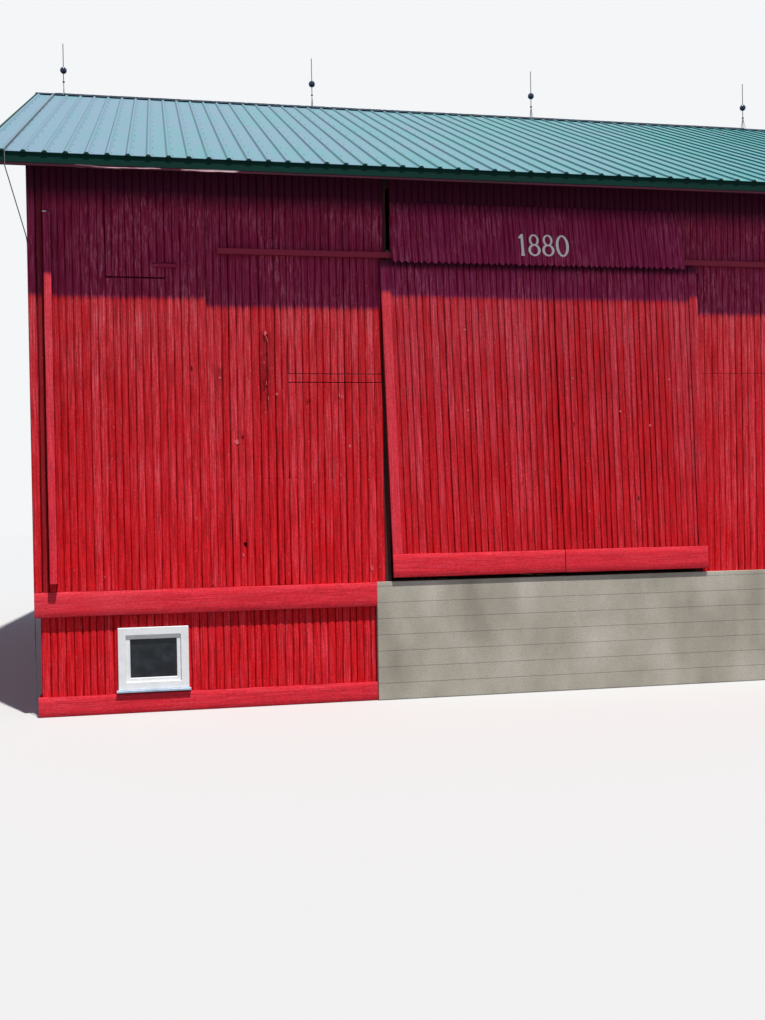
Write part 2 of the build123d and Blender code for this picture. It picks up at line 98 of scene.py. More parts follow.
def ranged(tree, value, low, high, to_low=0.0, to_high=1.0):
    """A value stretched from one range to another."""
    return add(tree, "ShaderNodeMapRange",
               {"Value": value, "From Min": low, "From Max": high, "To Min": to_low, "To Max": to_high})


def scaled(tree, vector, factors):
    """A vector or colour multiplied by another, part by part."""
    return add(tree, "ShaderNodeVectorMath", {0: vector, 1: factors}, operation="MULTIPLY")


def split(tree, vector):
    """The three parts of a vector."""
    return add(tree, "ShaderNodeSeparateXYZ", {"Vector": vector}).node.outputs[:]


def blend(tree, share, colour, over):
    """One colour laid over another by a share."""
    return add(tree, "ShaderNodeMix", {0: share, 6: colour, 7: over}, 2, data_type="RGBA")


def ramp(tree, value, places, colours):
    """A run of colours over a value, each at its own place."""
    made = add(tree, "ShaderNodeValToRGB", {"Fac": value})
    elements = made.node.color_ramp.elements
    for number, (place, colour) in enumerate(zip(places, colours)):
        stop = elements[number] if number < 2 else elements.new(place)
        stop.position = place
        stop.color = linear(colour)
    return made


def noise(tree, way, detail, roughness=0.5, scale=1):
    """Cloudy noise from 0 to 1."""
    return add(tree, "ShaderNodeTexNoise",
               {"Vector": way, "Scale": scale, "Detail": detail, "Roughness": roughness})


def relief(tree, height, strength, distance):
    """The normal of a slightly uneven surface."""
    return add(tree, "ShaderNodeBump", {"Height": height, "Strength": strength, "Distance": distance})


def object_place(tree):
    """Where a point lies in the barn's own frame."""
    return add(tree, "ShaderNodeTexCoord", {}, "Object")


def carried(tree, name):
    """Three numbers that the boards carry."""
    return add(tree, "ShaderNodeAttribute", {}, "Vector", attribute_name=name)


def new_finish(name):
    """A material, its node tree and its main shader."""
    material = bpy.data.materials.new(name)
    material.use_nodes = True
    tree = material.node_tree
    return material, tree, tree.nodes["Principled BSDF"]


print("a mid red is", [round(part, 3) for part in linear("#a81c2a")])

# %% [markdown]
# ## Paint on sawn boards
# The walls are sawn pine boards under many coats of red barn paint. The brush and the grain leave
# streaks that run along each board, some boards have faded to a chalky pink red, and dirt stays in
# the joints. Each board therefore carries its own numbers: where its grain starts, how faded it is,
# how worn, and how deep in the joint a point lies. The streaks on a real board are 2 to 5 mm wide.
# They are drawn 12 mm wide here, because finer ones don't show from the distance of this view. Worn
# grain is drawn as short dark dashes in patches. Sun bleaches paint, so the boards are palest high
# on the wall. Above the line of the eave's shadow the paint is a darker, purple crimson. This is
# painted shade, over paint that the sun has faded less. At the very top, under the eave, it turns
# almost black with painted shade. The edge of that painted shade runs from the eave's drip edge at
# the sun's slope.

# %% Painted boards
streak_size = (0.012, 0.45)
fine_size = (0.004, 0.12)
worn_size = (0.010, 0.11)
line_size = (0.007, 0.55)
fleck_size = (0.012, 0.05)
chalk_size = (0.022, 0.20)
speckle_size = (0.016, 0.034)
joint_dirt_size = (10.0, 0.6)
knot_spacing = (0.30, 0.9)
patch_size = 0.8
streak_stops = (0.34, 0.50, 0.66)
speckle_light = (0.30, 0.70, 0.78, 1.22)
chalk_noise = (0.50, 0.62)
chalk_patches = (0.44, 0.60, 0.12, 1.0)
worn_noise = (0.54, 0.68)
worn_patches = (0.36, 0.60, 0.15, 1.0)
line_noise = (0.57, 0.66)
fleck_noise = (0.70, 0.76)
knot_heart = (0.055, 0.02)
joint_dirt_noise = (0.38, 0.62, 0.35, 1.0)
board_roughness = (0.62, 0.86)
board_gloss = (0.2, 0.0)

# Painted shade: boards above the eave's shadow line, drawn from its drip edge at the sun's slope, get darker,
# purple reds.
sun_slope = 1 / 0.33
drip_edge = (6.785, 6.322)
sun_line = drip_edge[1] - sun_slope * drip_edge[0]
painted_shade_everywhere = -30.0
painted_shade_nowhere = 10.0
under_the_eave = (6.10, 6.15)
bleach_heights = (1.4, 4.8)
bleach_shift = (-0.20, 0.16)
tint_heights = (1.5, 4.6)
wall_tints = ((1.16, 0.66, 0.72, 1.0), (0.84, 0.86, 0.84, 1.0))
leaf_tints = ((1.17, 0.92, 0.92, 1.0), (0.85, 1.12, 1.16, 1.0))
trim_tints = ((1.0, 1.0, 1.0, 1.0), (0.95, 1.0, 1.0, 1.0))
stile_tints = ((1.06, 1.5, 1.4, 1.0), (0.88, 1.2, 1.1, 1.0))
# Heights where painted shade darkens the top of the boards: under the eave, under the hood and high on the
# gables.
eave_shade_heights = (6.06, 6.28)
under_hood_shade_heights = (5.41, 5.47)
gable_top_shade_heights = (9.4, 9.9)

deep_reds = ("#a20812", "#cb0d19", "#d23a46")
faded_reds = ("#b61a24", "#d82c38", "#e2666f")
wall_painted_shade_reds = ("#720e30", "#961844", "#b0446a")
leaf_reds = (("#a00610", "#c40814", "#cc2c38"), ("#b01822", "#ce2834", "#d8525c"))
smooth_reds = (("#cc2230", "#dc2836", "#e23c4a"), ("#d02e3c", "#de3e4a", "#e6505c"))
hood_painted_shade_reds = ("#7c1238", "#9e1e52", "#bc4c7a")
joint_red = "#58030a"
smooth_joint_red = "#4c0812"
chalk_pink = "#cc627f"
fleck_pink = "#e08a90"
resin_brown = "#4a060c"
corner_brown_and_shade = "#5c1216"
knot_brown = "#3a0a10"
eave_painted_shade = "#3a0524"
# Each stain under a knot: its middle, foot and top on the wall, its half width and its strength.
resin_stains = (
    (-3.545, 3.45, 4.56, 0.085, 0.7),
    (-4.100, 3.75, 4.12, 0.060, 0.6),
    (-3.860, 3.05, 3.36, 0.060, 0.6),
)


def along_grain(tree, grain, size, detail, roughness=0.5):
    """Noise drawn out along the grain of each board, from a width and a length."""
    return noise(tree, scaled(tree, grain, (1 / size[0], 1 / size[1], 1)), detail, roughness)


def painted_boards(name, reds=(deep_reds, faded_reds), joint=joint_red, fade_start=0.62, wear_strength=0.6,
                   painted_shade_from=sun_line, top_shade_heights=eave_shade_heights, stains=(), painted_shade_reds=wall_painted_shade_reds,
                   tints=wall_tints):
    """Barn paint on sawn boards: streaks along the grain, faded boards, knots, dirty joints, painted shade.
    """
    material, tree, shader = new_finish(name)
    grain = carried(tree, "grain")
    fade, wear, depth = split(tree, carried(tree, "board"))
    place = object_place(tree)
    across, inwards, height = split(tree, place)
    patches = noise(tree, place, 3, scale=1 / patch_size)
    streaks = along_grain(tree, grain, streak_size, 5, 0.62)
    fresh, chalky, shade_colour = [ramp(tree, streaks, streak_stops, shades) for shades in (*reds, painted_shade_reds)]

    by_height = ranged(tree, height, *bleach_heights, *bleach_shift)
    bleached = calc(tree, "ADD", by_height, product(tree, fade, 0.6))
    share = ranged(tree, calc(tree, "ADD", patches, bleached), fade_start, fade_start + 0.5)
    tint = blend(tree, ranged(tree, height, *tint_heights), *tints)
    paint = scaled(tree, blend(tree, share, fresh, chalky), tint)
    rough_sawn = ranged(tree, along_grain(tree, grain, speckle_size, 2, 0.6), *speckle_light)
    paint = add(tree, "ShaderNodeVectorMath", {0: paint, "Scale": rough_sawn}, operation="SCALE")

    chalk = ranged(tree, along_grain(tree, grain, chalk_size, 6, 0.72), *chalk_noise)
    shade_colour = blend(tree, product(tree, chalk, ranged(tree, patches, *chalk_patches)), shade_colour, chalk_pink)
    # Painted shade: above the shadow line, on the front and back faces, the paint turns to the painted shade
    # reds.
    out = calc(tree, "ABSOLUTE", inwards)
    over_line = calc(tree, "MULTIPLY_ADD", out, -sun_slope, height)
    shaded = ranged(tree, over_line, painted_shade_from - 0.03, painted_shade_from + 0.01)
    paint = blend(tree, product(tree, shaded, ranged(tree, out, *under_the_eave)), paint, shade_colour)

    worn = along_grain(tree, grain, worn_size, 3, 0.6)
    worn_here = product(tree, ranged(tree, worn, *worn_noise), ranged(tree, patches, *worn_patches))
    paint = blend(tree, product(tree, worn_here, wear_strength), paint, reds[0][0])
    lines = ranged(tree, along_grain(tree, grain, line_size, 2), *line_noise, 0.0, wear_strength)
    paint = blend(tree, lines, paint, joint)
    for middle, foot, top, half_width, strength in stains:
        far = calc(tree, "ABSOLUTE", calc(tree, "SUBTRACT", across, middle))
        stained = product(tree, ranged(tree, far, half_width, 0.3 * half_width),
                          ranged(tree, height, foot, foot + 0.3), ranged(tree, height, top, top - 0.05),
                          ranged(tree, worn, 0.38, 0.60, 0.3 * strength, strength))
        paint = blend(tree, stained, paint, resin_brown)
    # Boards given a negative fade turn dark brown: dirty paint and painted shade in one.
    paint = blend(tree, ranged(tree, fade, -0.2, -1.0, 0.0, 0.6), paint, corner_brown_and_shade)
    flecks = ranged(tree, along_grain(tree, grain, fleck_size, 2), *fleck_noise)
    paint = blend(tree, product(tree, flecks, wear, 0.6), paint, fleck_pink)

    knot_way = scaled(tree, grain, (1 / knot_spacing[0], 1 / knot_spacing[1], 1))
    from_knot = add(tree, "ShaderNodeTexVoronoi", {"Vector": knot_way, "Scale": 1, "Randomness": 1})
    paint = blend(tree, product(tree, ranged(tree, from_knot, *knot_heart), wear), paint, knot_brown)
    along_joint = along_grain(tree, grain, joint_dirt_size, 3)
    dirt = product(tree, depth, ranged(tree, along_joint, *joint_dirt_noise), 0.9)
    paint = blend(tree, dirt, paint, joint)
    # Painted shade: the paint turns almost black towards the top of the walls and just under the hood.
    uneven_height = calc(tree, "MULTIPLY_ADD", streaks, 0.2, height)
    paint = blend(tree, ranged(tree, uneven_height, *top_shade_heights, 0.0, 0.92), paint, eave_painted_shade)
    ridges = calc(tree, "ADD", streaks, along_grain(tree, grain, fine_size, 3))
    fill(shader, {"Base Color": paint,
                  "Specular IOR Level": ranged(tree, depth, 0.0, 0.6, *board_gloss),
                  "Roughness": ranged(tree, streaks, 0.0, 1.0, *board_roughness),
                  "Normal": relief(tree, ridges, 0.55, 0.0016)})
    return material


barn_paint = painted_boards("barn_paint_on_sawn_pine", stains=resin_stains)
leaf_paint = painted_boards("barn_paint_on_the_leaves", leaf_reds, top_shade_heights=under_hood_shade_heights,
                            painted_shade_reds=hood_painted_shade_reds, tints=leaf_tints)
# The hood lies wholly in the eave's shadow, so all of it gets the darker, purple painted shade.
hood_paint = painted_boards("barn_paint_on_the_hood_in_painted_shade", painted_shade_from=painted_shade_everywhere, painted_shade_reds=hood_painted_shade_reds)
gable_paint = painted_boards("barn_paint_in_the_weather", painted_shade_from=painted_shade_nowhere,
                             top_shade_heights=gable_top_shade_heights)
trim_paint = painted_boards("barn_paint_on_planed_boards", smooth_reds, smooth_joint_red, 0.75, 0.3,
                            tints=trim_tints)
stile_paint = painted_boards("barn_paint_on_stiles", smooth_reds, smooth_joint_red, 0.75, 0.4,
                             top_shade_heights=under_hood_shade_heights, painted_shade_reds=hood_painted_shade_reds, tints=stile_tints)
print("paints:", barn_paint.name, leaf_paint.name, gable_paint.name, trim_paint.name, stile_paint.name)

# %% [markdown]
# ## Bare timber
# Indoors nothing was ever painted. Old pine and oak turn a dull grey brown, with darker grain lines
# and checks that open along the grain. The grain runs along the piece, so the same finish is made
# once for each direction, and once for boards that carry their own grain.

# %% Bare timber
grain_width = 0.018
grain_length = 0.9


def bare_timber(name, run, browns):
    """Unpainted old wood whose grain runs along X, Y or Z, or as the piece itself says."""
    material, tree, shader = new_finish(name)
    if run == "own":
        way = scaled(tree, carried(tree, "grain"), (1 / grain_width, 1 / grain_length, 1))
    else:
        way = scaled(tree, object_place(tree),
                     [1 / grain_length if axis == run else 1 / grain_width for axis in "XYZ"])
    lines = noise(tree, way, 6, 0.6)
    fill(shader, {"Base Color": ramp(tree, lines, (0.32, 0.5, 0.7), browns), "Roughness": 0.82,
                  "Normal": relief(tree, lines, 0.5, 0.003)})
    return material


aged_browns = ("#4a3a2b", "#7a6450", "#9b8770")
timber = {run: bare_timber(f"old_timber_along_{run.lower()}", run, aged_browns) for run in ("X", "Y", "Z")}
# The posts beside the doorway are near black: red paint drift on the timber and painted shade for the dark
# gap by the leaf.
jamb_timber_drift_and_shade = bare_timber("old_posts_with_paint_drift_and_painted_shade", "Z", ("#260607", "#420b0e", "#5c1a1c"))
# Painted shade: the plates get a near-black timber for the deep shade where they show in the slot beside the
# doorway.
plate_timber_in_painted_shade = bare_timber("old_plates_in_painted_shade", "X", ("#120806", "#22120e", "#34211a"))
bare_back = bare_timber("bare_back_of_boards", "own", aged_browns)
floor_planks = bare_timber("worn_floor_planks", "own", ("#5f4f3c", "#8a765d", "#a8967b"))
print("timber finishes:", len(timber) + 4)

# %% [markdown]
# ## Plain painted wood on the roof's edges
# The soffit and the hood's brackets are a very dark red, near black: partly their paint and partly
# painted shade. The fascia under the eave is red too, but the paint has come off in long strips, and
# the bare primer shows pale pink there.

# %% Soffit and fascia paint
flake_width = 0.05
flake_length = 1.6
peeled_places = ((-5.25, 0.60), (-4.22, 0.42))


def edge_paint(name, base, peeled, peel_from, peel_places=()):
    """Paint on a long level board, with strips where it has come off, most of all at some places."""
    material, tree, shader = new_finish(name)
    place = object_place(tree)
    strips = noise(tree, scaled(tree, place, (1 / flake_length, 1 / flake_width, 1 / flake_width)), 5, 0.65)
    along = split(tree, place)[0]
    for middle, half_width in peel_places:
        far = calc(tree, "ABSOLUTE", calc(tree, "SUBTRACT", along, middle))
        strips = calc(tree, "ADD", strips, ranged(tree, far, half_width, 0.7 * half_width, 0.0, 0.14))
    peel = ranged(tree, strips, peel_from, peel_from + 0.05)
    fill(shader, {"Base Color": blend(tree, peel, ramp(tree, strips, (0.3, 0.65), base), peeled),
                  "Roughness": 0.7, "Specular IOR Level": 0.2, "Normal": relief(tree, strips, 0.4, 0.002)})
    return material


# The soffit's near-black red is partly painted shade.
soffit_paint_and_shade = edge_paint("dark_soffit_paint_and_painted_shade", ("#1a050e", "#2c0a18"), "#3c1222", 0.72)
fascia_paint = edge_paint("peeling_fascia_paint", ("#2e0818", "#4a1026"), "#e4bcc0", 0.64, peeled_places)
print("edge paints:", soffit_paint_and_shade.name, fascia_paint.name)

# %% [markdown]
# ## Green metal
# The roof is ribbed steel sheet with a factory-baked polyester paint. It is smooth and half glossy,
# so at the low angle of this view it is paler than its own green. Towards the left that paleness is
# painted in as a grey blue sky reflection, mixed with the dust. Dust and faint runs of rain go down
# the slope. A dark line of painted shade runs along the shaded side of each rib, strongest on the
# right. The trims at the eave are the same sheet, folded, and their near-black green is painted shade.

# %% Painted sheet metal
run_width = 0.06
run_length = 1.8
dust_size = 1.4
rib_pitch = 0.2286
rib_place = -6.490
rib_shaded_side = -0.022
rib_shade_reach = (0.014, 0.006)
rib_shade_shares = (0.30, 0.95)
rib_painted_shade = "#0c3238"
dust_and_sheen_shares = (0.30, -0.30)
roof_end = 6.78


def painted_metal(name, clean, dust_and_sheen, roughness, run, gloss=0.5, ribbed=False):
    """Baked paint on sheet metal, with dust and rain marks that run one way; ribbed sheet adds painted rib
    shade and sky reflection.
    """
    material, tree, shader = new_finish(name)
    place = object_place(tree)
    way = scaled(tree, place, [1 / run_length if axis in run else 1 / run_width for axis in "XYZ"])
    dust = noise(tree, place, 5, scale=1 / dust_size)
    both = calc(tree, "ADD", noise(tree, way, 4), dust)
    x = split(tree, place)[0]
    if ribbed:
        # Painted sky reflection: the roof blends towards the paler grey blue more to the left, along with
        # dust.
        both = calc(tree, "ADD", both, ranged(tree, x, -roof_end, roof_end, *dust_and_sheen_shares))
    share = ranged(tree, both, 0.7, 1.3)
    colour = blend(tree, share, clean, dust_and_sheen)
    if ribbed:
        # Painted shade: a dark, less glossy line on the shaded side of each rib, stronger to the right.
        from_rib = calc(tree, "SUBTRACT", x, rib_place + rib_shaded_side)
        far = calc(tree, "PINGPONG", from_rib, rib_pitch / 2)
        by_place = ranged(tree, x, -roof_end, roof_end, *rib_shade_shares)
        near = product(tree, ranged(tree, far, *rib_shade_reach), by_place)
        colour = blend(tree, near, colour, rib_painted_shade)
        gloss = ranged(tree, near, 0.0, 0.8, gloss, 0.0)
    fill(shader, {"Base Color": colour, "Specular IOR Level": gloss,
                  "Roughness": ranged(tree, share, 0.0, 1.0, roughness, roughness + 0.15),
                  "Normal": relief(tree, dust, 0.12, 0.01)})
    return material


green_roof = painted_metal("green_baked_paint_on_ribbed_steel", "#257c7c", "#5a7888", 0.42, "YZ",
                           ribbed=True)
# Painted shade: the trims are the roof's paint, darkened to near black for the shade they sit in.
green_trim_in_painted_shade = painted_metal("green_folded_trim_in_painted_shade", "#012620", "#02322a", 0.6, "X", 0.1)
cap_metal = painted_metal("green_baked_paint_on_ridge_cap", "#081f30", "#0e2a3e", 0.55, "X", 0.2)
red_metal = painted_metal("red_paint_on_rolled_track", "#7c1030", "#96243f", 0.5, "X", 0.3)
print("metals:", green_roof.name, green_trim_in_painted_shade.name, cap_metal.name, red_metal.name)

# %% [markdown]
# ## Small metals, glass, vinyl and concrete
# Hangers and wheels are hot-rolled steel with rust in the hollows. The rods are weathered
# galvanised steel, the balls on them are dark blue glass. The window is white vinyl, its pane is
# float glass whose dark grey colour is painted shade for the dark room behind it. The wall along the
# bank is concrete cast between planks.

# %% Other finishes
rust_size = 0.03
form_plank_height = 0.20
stain_scale = (1.6, 1.6, 0.9)


def bare_metal(name, clean, stained, roughness):
    """Uncoated metal with a darker stain in patches."""
    material, tree, shader = new_finish(name)
    share = ranged(tree, noise(tree, object_place(tree), 5, scale=1 / rust_size), 0.42, 0.62)
    fill(shader, {"Base Color": blend(tree, share, clean, stained), "Metallic": 0.75,
                  "Roughness": ranged(tree, share, 0.0, 1.0, roughness, roughness + 0.3)})
    return material


def blue_ball_glass():
    """Dark blue blown glass, glossy, with paler swirls in it."""
    material, tree, shader = new_finish("blue_blown_glass")
    swirl = noise(tree, object_place(tree), 2, scale=18)
    fill(shader, {"Base Color": ramp(tree, swirl, (0.35, 0.7), ("#0a1a33", "#16315c")),
                  "Roughness": 0.06, "IOR": 1.52})
    return material


def clear_pane():
    """Float glass with a thin film of dust; its dark grey colour is painted shade for the dark room behind.
    """
    material, tree, shader = new_finish("float_glass_with_painted_room_shade")
    film = noise(tree, object_place(tree), 6, scale=9)
    fill(shader, {"Base Color": ramp(tree, film, (0.4, 0.75), ("#20262b", "#3a4147")),
                  "Roughness": ranged(tree, film, 0.0, 1.0, 0.04, 0.2), "IOR": 1.5,
                  "Transmission Weight": 0.35})
    return material


def moulded(name, clean, dirty, roughness, gloss=0.5):
    """A smooth finish with grime in soft patches."""
    material, tree, shader = new_finish(name)
    grime = noise(tree, object_place(tree), 6, 0.6, 7)
    fill(shader, {"Base Color": ramp(tree, grime, (0.45, 0.8), (clean, dirty)), "Roughness": roughness,
                  "Specular IOR Level": gloss, "Normal": relief(tree, grime, 0.08, 0.001)})
    return material


def cast_concrete():
    """Old concrete: plank marks from its formwork, stains that run down, grit and pits."""
    material, tree, shader = new_finish("cast_concrete")
    place = object_place(tree)
    plank = calc(tree, "FRACT", calc(tree, "MULTIPLY", split(tree, place)[2], 1 / form_plank_height))
    seam = ranged(tree, plank, 0.0, 0.06)
    stain = noise(tree, scaled(tree, place, stain_scale), 6)
    grit = noise(tree, place, 4, scale=90)
    base = ramp(tree, stain, (0.28, 0.5, 0.72), ("#938b7c", "#aea696", "#c4bcad"))
    fill(shader, {"Base Color": blend(tree, ranged(tree, grit, 0.55, 0.72, 0.0, 0.5), base, "#5b564e"),
                  "Roughness": 0.9, "Normal": relief(tree, calc(tree, "ADD", seam, grit), 0.6, 0.004)})
    return material


rusty_steel = bare_metal("hot_rolled_steel_with_rust", "#6d6a66", "#5a3a28", 0.45)
galvanised = bare_metal("weathered_galvanised_steel", "#6f757c", "#4f545a", 0.4)
ball_glass = blue_ball_glass()
pane_glass_with_room_shade = clear_pane()
white_vinyl = moulded("white_vinyl", "#eeeeec", "#d9d9d5", 0.35)
white_paint = moulded("white_brushed_paint", "#fff6ee", "#f0e6de", 0.5)
grey_paint = moulded("grey_blue_paint", "#aebccb", "#8495a6", 0.5)
concrete = cast_concrete()
bare_knot = moulded("bare_pine_round_a_knot", "#d86468", "#b43c40", 0.8, 0.1)
dark_knot = moulded("dark_heart_of_a_knot", "#7a0c14", "#58060c", 0.8, 0.05)
knot_hole = moulded("shade_in_a_knot_hole", "#1c0204", "#100102", 0.9, 0.0)
print("finishes so far:", len(bpy.data.materials))

# %% [markdown]
# ## One board, and a row of them
# A board is a long closed solid. Its face is slightly crowned, because wood cups as it dries, and its
# long edges are rounded, so that two boards meet in a V joint. Boards touch each other below the
# joint, and no light comes through. The edges wander a few millimetres along their length. A joint
# is shared: both boards follow the same line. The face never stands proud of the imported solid.
# Modelling each board takes more faces than a bump map does, but the joints then cast real shade.

# %% The board maker
FACE_SHARES = np.array([0.0, 0.35, 1.0])
JOINT_SHARES = np.array([1.0, 0.45, 0.0])
CROWN_PLACES = np.array([0.3, 0.5, 0.7])
CROWN_SHARES = np.array([0.3, 0.0, 0.3])
SIDES = {
    "front": ((1, 0), (0, -1)),
    "back": ((-1, 0), (0, 1)),
    "left": ((0, -1), (-1, 0)),
    "right": ((0, 1), (1, 0)),
}
end_chamfer = 0.003
full_turn = 6.28
groove_uneven = 0.42
sharp_angle = math.radians(32)


def section(width, thickness, edge, groove, crown):
    """One board's section: places across, places inwards, and how deep in the joint each one is.
    A crown below nothing is a face that has cupped the other way, with its edges proud."""
    left = edge * FACE_SHARES
    across = np.concatenate([[0], left, width * CROWN_PLACES, width - left[::-1], [width]])
    rise, dip = max(crown, 0.0), max(-crown, 0.0)
    slope = rise + (groove - rise) * JOINT_SHARES
    face = rise * CROWN_SHARES + dip * (1 - CROWN_SHARES)
    inward = np.concatenate([[thickness], slope, face, slope[::-1], [thickness]])
    depth = np.concatenate([[1], JOINT_SHARES, 0 * CROWN_SHARES, JOINT_SHARES[::-1], [1]])
    return across, inward, depth


def wave(along, seed):
    """A slow irregular wave, for edges that aren't quite straight."""
    return np.sin(1.3 * along + seed) + 0.5 * np.sin(3.7 * along + 2.3 * seed)


def ends(value, across):
    """A board's end as one number for each place across: a plain number or a rule."""
    return value(across) if callable(value) else np.full(len(across), float(value))


def board(pile, place, span, run, thickness, look, edge=0.012, groove=0.007, crown=0.002,
          rows=6, wander=0.0, seeds=(0.0, 0.0), tilt=0.0, bow=0.0, width_rule=None):
    """Adds one closed board to the pile. place turns across, inward and along into a point."""
    left, right = span
    across, inward, depth = section(right - left, thickness, edge, groove, crown)
    share = across / (right - left)
    low, high = [ends(end, left + across) for end in run]
    chamfer = min(end_chamfer, 0.2 * float(np.min(high - low)))
    first = chamfer / float(np.max(high - low))
    steps = np.concatenate([[0, first], np.linspace(0, 1, rows)[1:-1], [1 - first, 1]])
    v = low[None, :] + steps[:, None] * (high - low)[None, :]
    u = left + across[None, :] + 0 * v
    u = u + wander * (wave(v, seeds[0]) * (1 - share) + wave(v, seeds[1]) * share)
    if width_rule is not None:
        middle = (left + right) / 2
        u = middle + (u - middle) * width_rule(steps)[:, None]
    on_face = (inward < thickness).astype(float)
    lean = tilt * share if tilt > 0 else -tilt * (1 - share)
    d = inward + on_face * lean + on_face * bow * (0.5 + 0.25 * wave(v, seeds[0]))
    d[[0, -1]] += on_face * chamfer
    d = np.minimum(d, thickness)

    base = len(pile["points"])
    columns = len(across)
    last = len(steps) - 1
    fade, wear, seed = look
    pile["points"].extend(np.stack(place(u, d, v), axis=-1).reshape(-1, 3).tolist())
    grain = np.stack([u - left + 3.1 * seed, v + 5.7 * seed, 0 * v + 17 * seed], axis=-1)
    pile["grain"].extend(grain.reshape(-1, 3).tolist())
    own = np.stack([0 * v + fade, 0 * v + wear, np.broadcast_to(depth, v.shape)], axis=-1)
    pile["board"].extend(own.reshape(-1, 3).tolist())
    for row in range(last):
        for column in range(columns):
            after = (column + 1) % columns
            one = base + row * columns
            two = one + columns
            pile["faces"].append((one + column, one + after, two + after, two + column))
            pile["inside"].append(int(column == columns - 1))
    pile["faces"].append(tuple(base + column for column in reversed(range(columns))))
    pile["faces"].append(tuple(base + last * columns + column for column in range(columns)))
    pile["inside"].extend([0, 0])


def new_pile():
    """An empty pile of boards or small solids."""
    return {"points": [], "faces": [], "grain": [], "board": [], "inside": []}


def band(one, two, count):
    """Faces that join two rings of points, each given by its number."""
    return [(one * count + n, one * count + (n + 1) % count, two * count + (n + 1) % count, two * count + n)
            for n in range(count)]


def lid(ring, count):
    """A face that closes one ring of points."""
    return tuple(range(ring * count, (ring + 1) * count))


def add_solid(pile, points, faces, kind=0):
    """Adds a small closed solid to the pile, with faces that count from its own first point."""
    base = len(pile["points"])
    pile["points"].extend(points)
    pile["faces"].extend(tuple(base + point for point in face) for face in faces)
    pile["inside"].extend([kind] * len(faces))


def raise_piece(name, pile, materials, *nodes, body="barn", slot="red_boards"):
    """Makes one object of a pile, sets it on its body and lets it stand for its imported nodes."""
    mesh = bpy.data.meshes.new(name)
    mesh.from_pydata(pile["points"], [], pile["faces"])
    shell = bmesh.new()
    shell.from_mesh(mesh)
    bmesh.ops.recalc_face_normals(shell, faces=shell.faces)
    shell.to_mesh(mesh)
    shell.free()
    for key in ("grain", "board"):
        if pile[key]:
            layer = mesh.attributes.new(key, "FLOAT_VECTOR", "POINT")
            layer.data.foreach_set("vector", np.array(pile[key], np.float32).ravel())
    for material in materials:
        mesh.materials.append(material)
    mesh.polygons.foreach_set("use_smooth", [True] * len(mesh.polygons))
    mesh.polygons.foreach_set("material_index", pile["inside"])
    mesh.set_sharp_from_angle(angle=sharp_angle)
    mesh.update()
    piece = bpy.data.objects.new(name, mesh)
    bpy.context.scene.collection.objects.link(piece)
    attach(piece, body)
    if nodes:
        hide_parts(*nodes)
    print(f"{name}: {len(mesh.vertices)} points, {sum(len(face) - 2 for face in pile['faces'])} triangles")


def upright(side, face):
    """Places boards that stand on a wall's face, seen from outside."""
    along, out = SIDES[side]
    return lambda u, d, v: (along[0] * u + out[0] * (face - d), along[1] * u + out[1] * (face - d), v)


def lying(place):
    """Turns a rule for upright boards into one for level boards, from their top edge down."""
    return lambda u, d, v: place(v, d, -u)


def joints_between(start, end, pitch, uneven, rng, fixed=()):
    """Joint places from start to end, about a pitch apart, with a joint at each fixed place."""
    marks = sorted({start, end, *fixed})
    places = [start]
    for low, high in zip(marks[:-1], marks[1:]):
        count = max(1, round((high - low) / pitch))
        widths = 1 + uneven * rng.uniform(-1, 1, count)
        places.extend(low + (high - low) * np.cumsum(widths) / widths.sum())
    return [float(place) for place in places]


def some_look(rng):
    """How faded a board is, whether it is worn, and where its grain starts."""
    return rng.random(), float(rng.random() < 0.5), rng.random()


def board_row(pile, place, joints, runs, thickness, rng, crown=(0.002, 0.005), tilt=0.003, looks=None,
              open_joints=(), groove=0.007, **shape):
    """Adds a row of boards between joints. runs says where the board at one place starts and ends."""
    seeds = rng.uniform(0, full_turn, len(joints))
    grooves = groove * (1 + groove_uneven * np.sin(seeds))
    for number, (left, right) in enumerate(zip(joints[:-1], joints[1:])):
        look = looks[number] if looks else some_look(rng)
        middle = (left + right) / 2
        own_crown = rng.uniform(*(crown(middle) if callable(crown) else crown))
        own_tilt = tilt * rng.uniform(-1, 1)
        for joint, width in open_joints:
            left += width / 2 * (abs(left - joint) < 1e-6)
            right -= width / 2 * (abs(right - joint) < 1e-6)
        for run in runs(middle):
            board(pile, place, (left, right), run, thickness, look, crown=own_crown, tilt=own_tilt,
                  seeds=(seeds[number], seeds[number + 1]), groove=grooves[number], **shape)


def trim_board(pile, place, span, run, thickness, rng, fade=None, **changes):
    """Adds one planed board, plain and unworn."""
    look = (rng.random() if fade is None else fade, 0.0, rng.random())
    seeds = rng.uniform(0, full_turn, 2)
    board(pile, place, span, run, thickness, look, seeds=seeds, **{**trim_shape, **changes})


def size_of(node):
    """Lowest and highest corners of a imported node."""
    low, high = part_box(node)
    return [float(x) for x in low], [float(x) for x in high]


def reach_of(side, box):
    """Where a box starts and ends along one side, and its inner and outer face there."""
    low, high = box
    along, out = SIDES[side]
    axis = 0 if along[0] else 1
    start, end = sorted((along[axis] * low[axis], along[axis] * high[axis]))
    inner, outer = sorted((out[1 - axis] * low[1 - axis], out[1 - axis] * high[1 - axis]))
    return start, end, inner, outer


trim_shape = {"edge": 0.006, "groove": 0.006, "crown": 0.0006, "rows": 16, "wander": 0.0012, "bow": 0.0012}
print("sections have", len(section(0.09, 0.03, 0.012, 0.007, 0.002)[0]), "points")

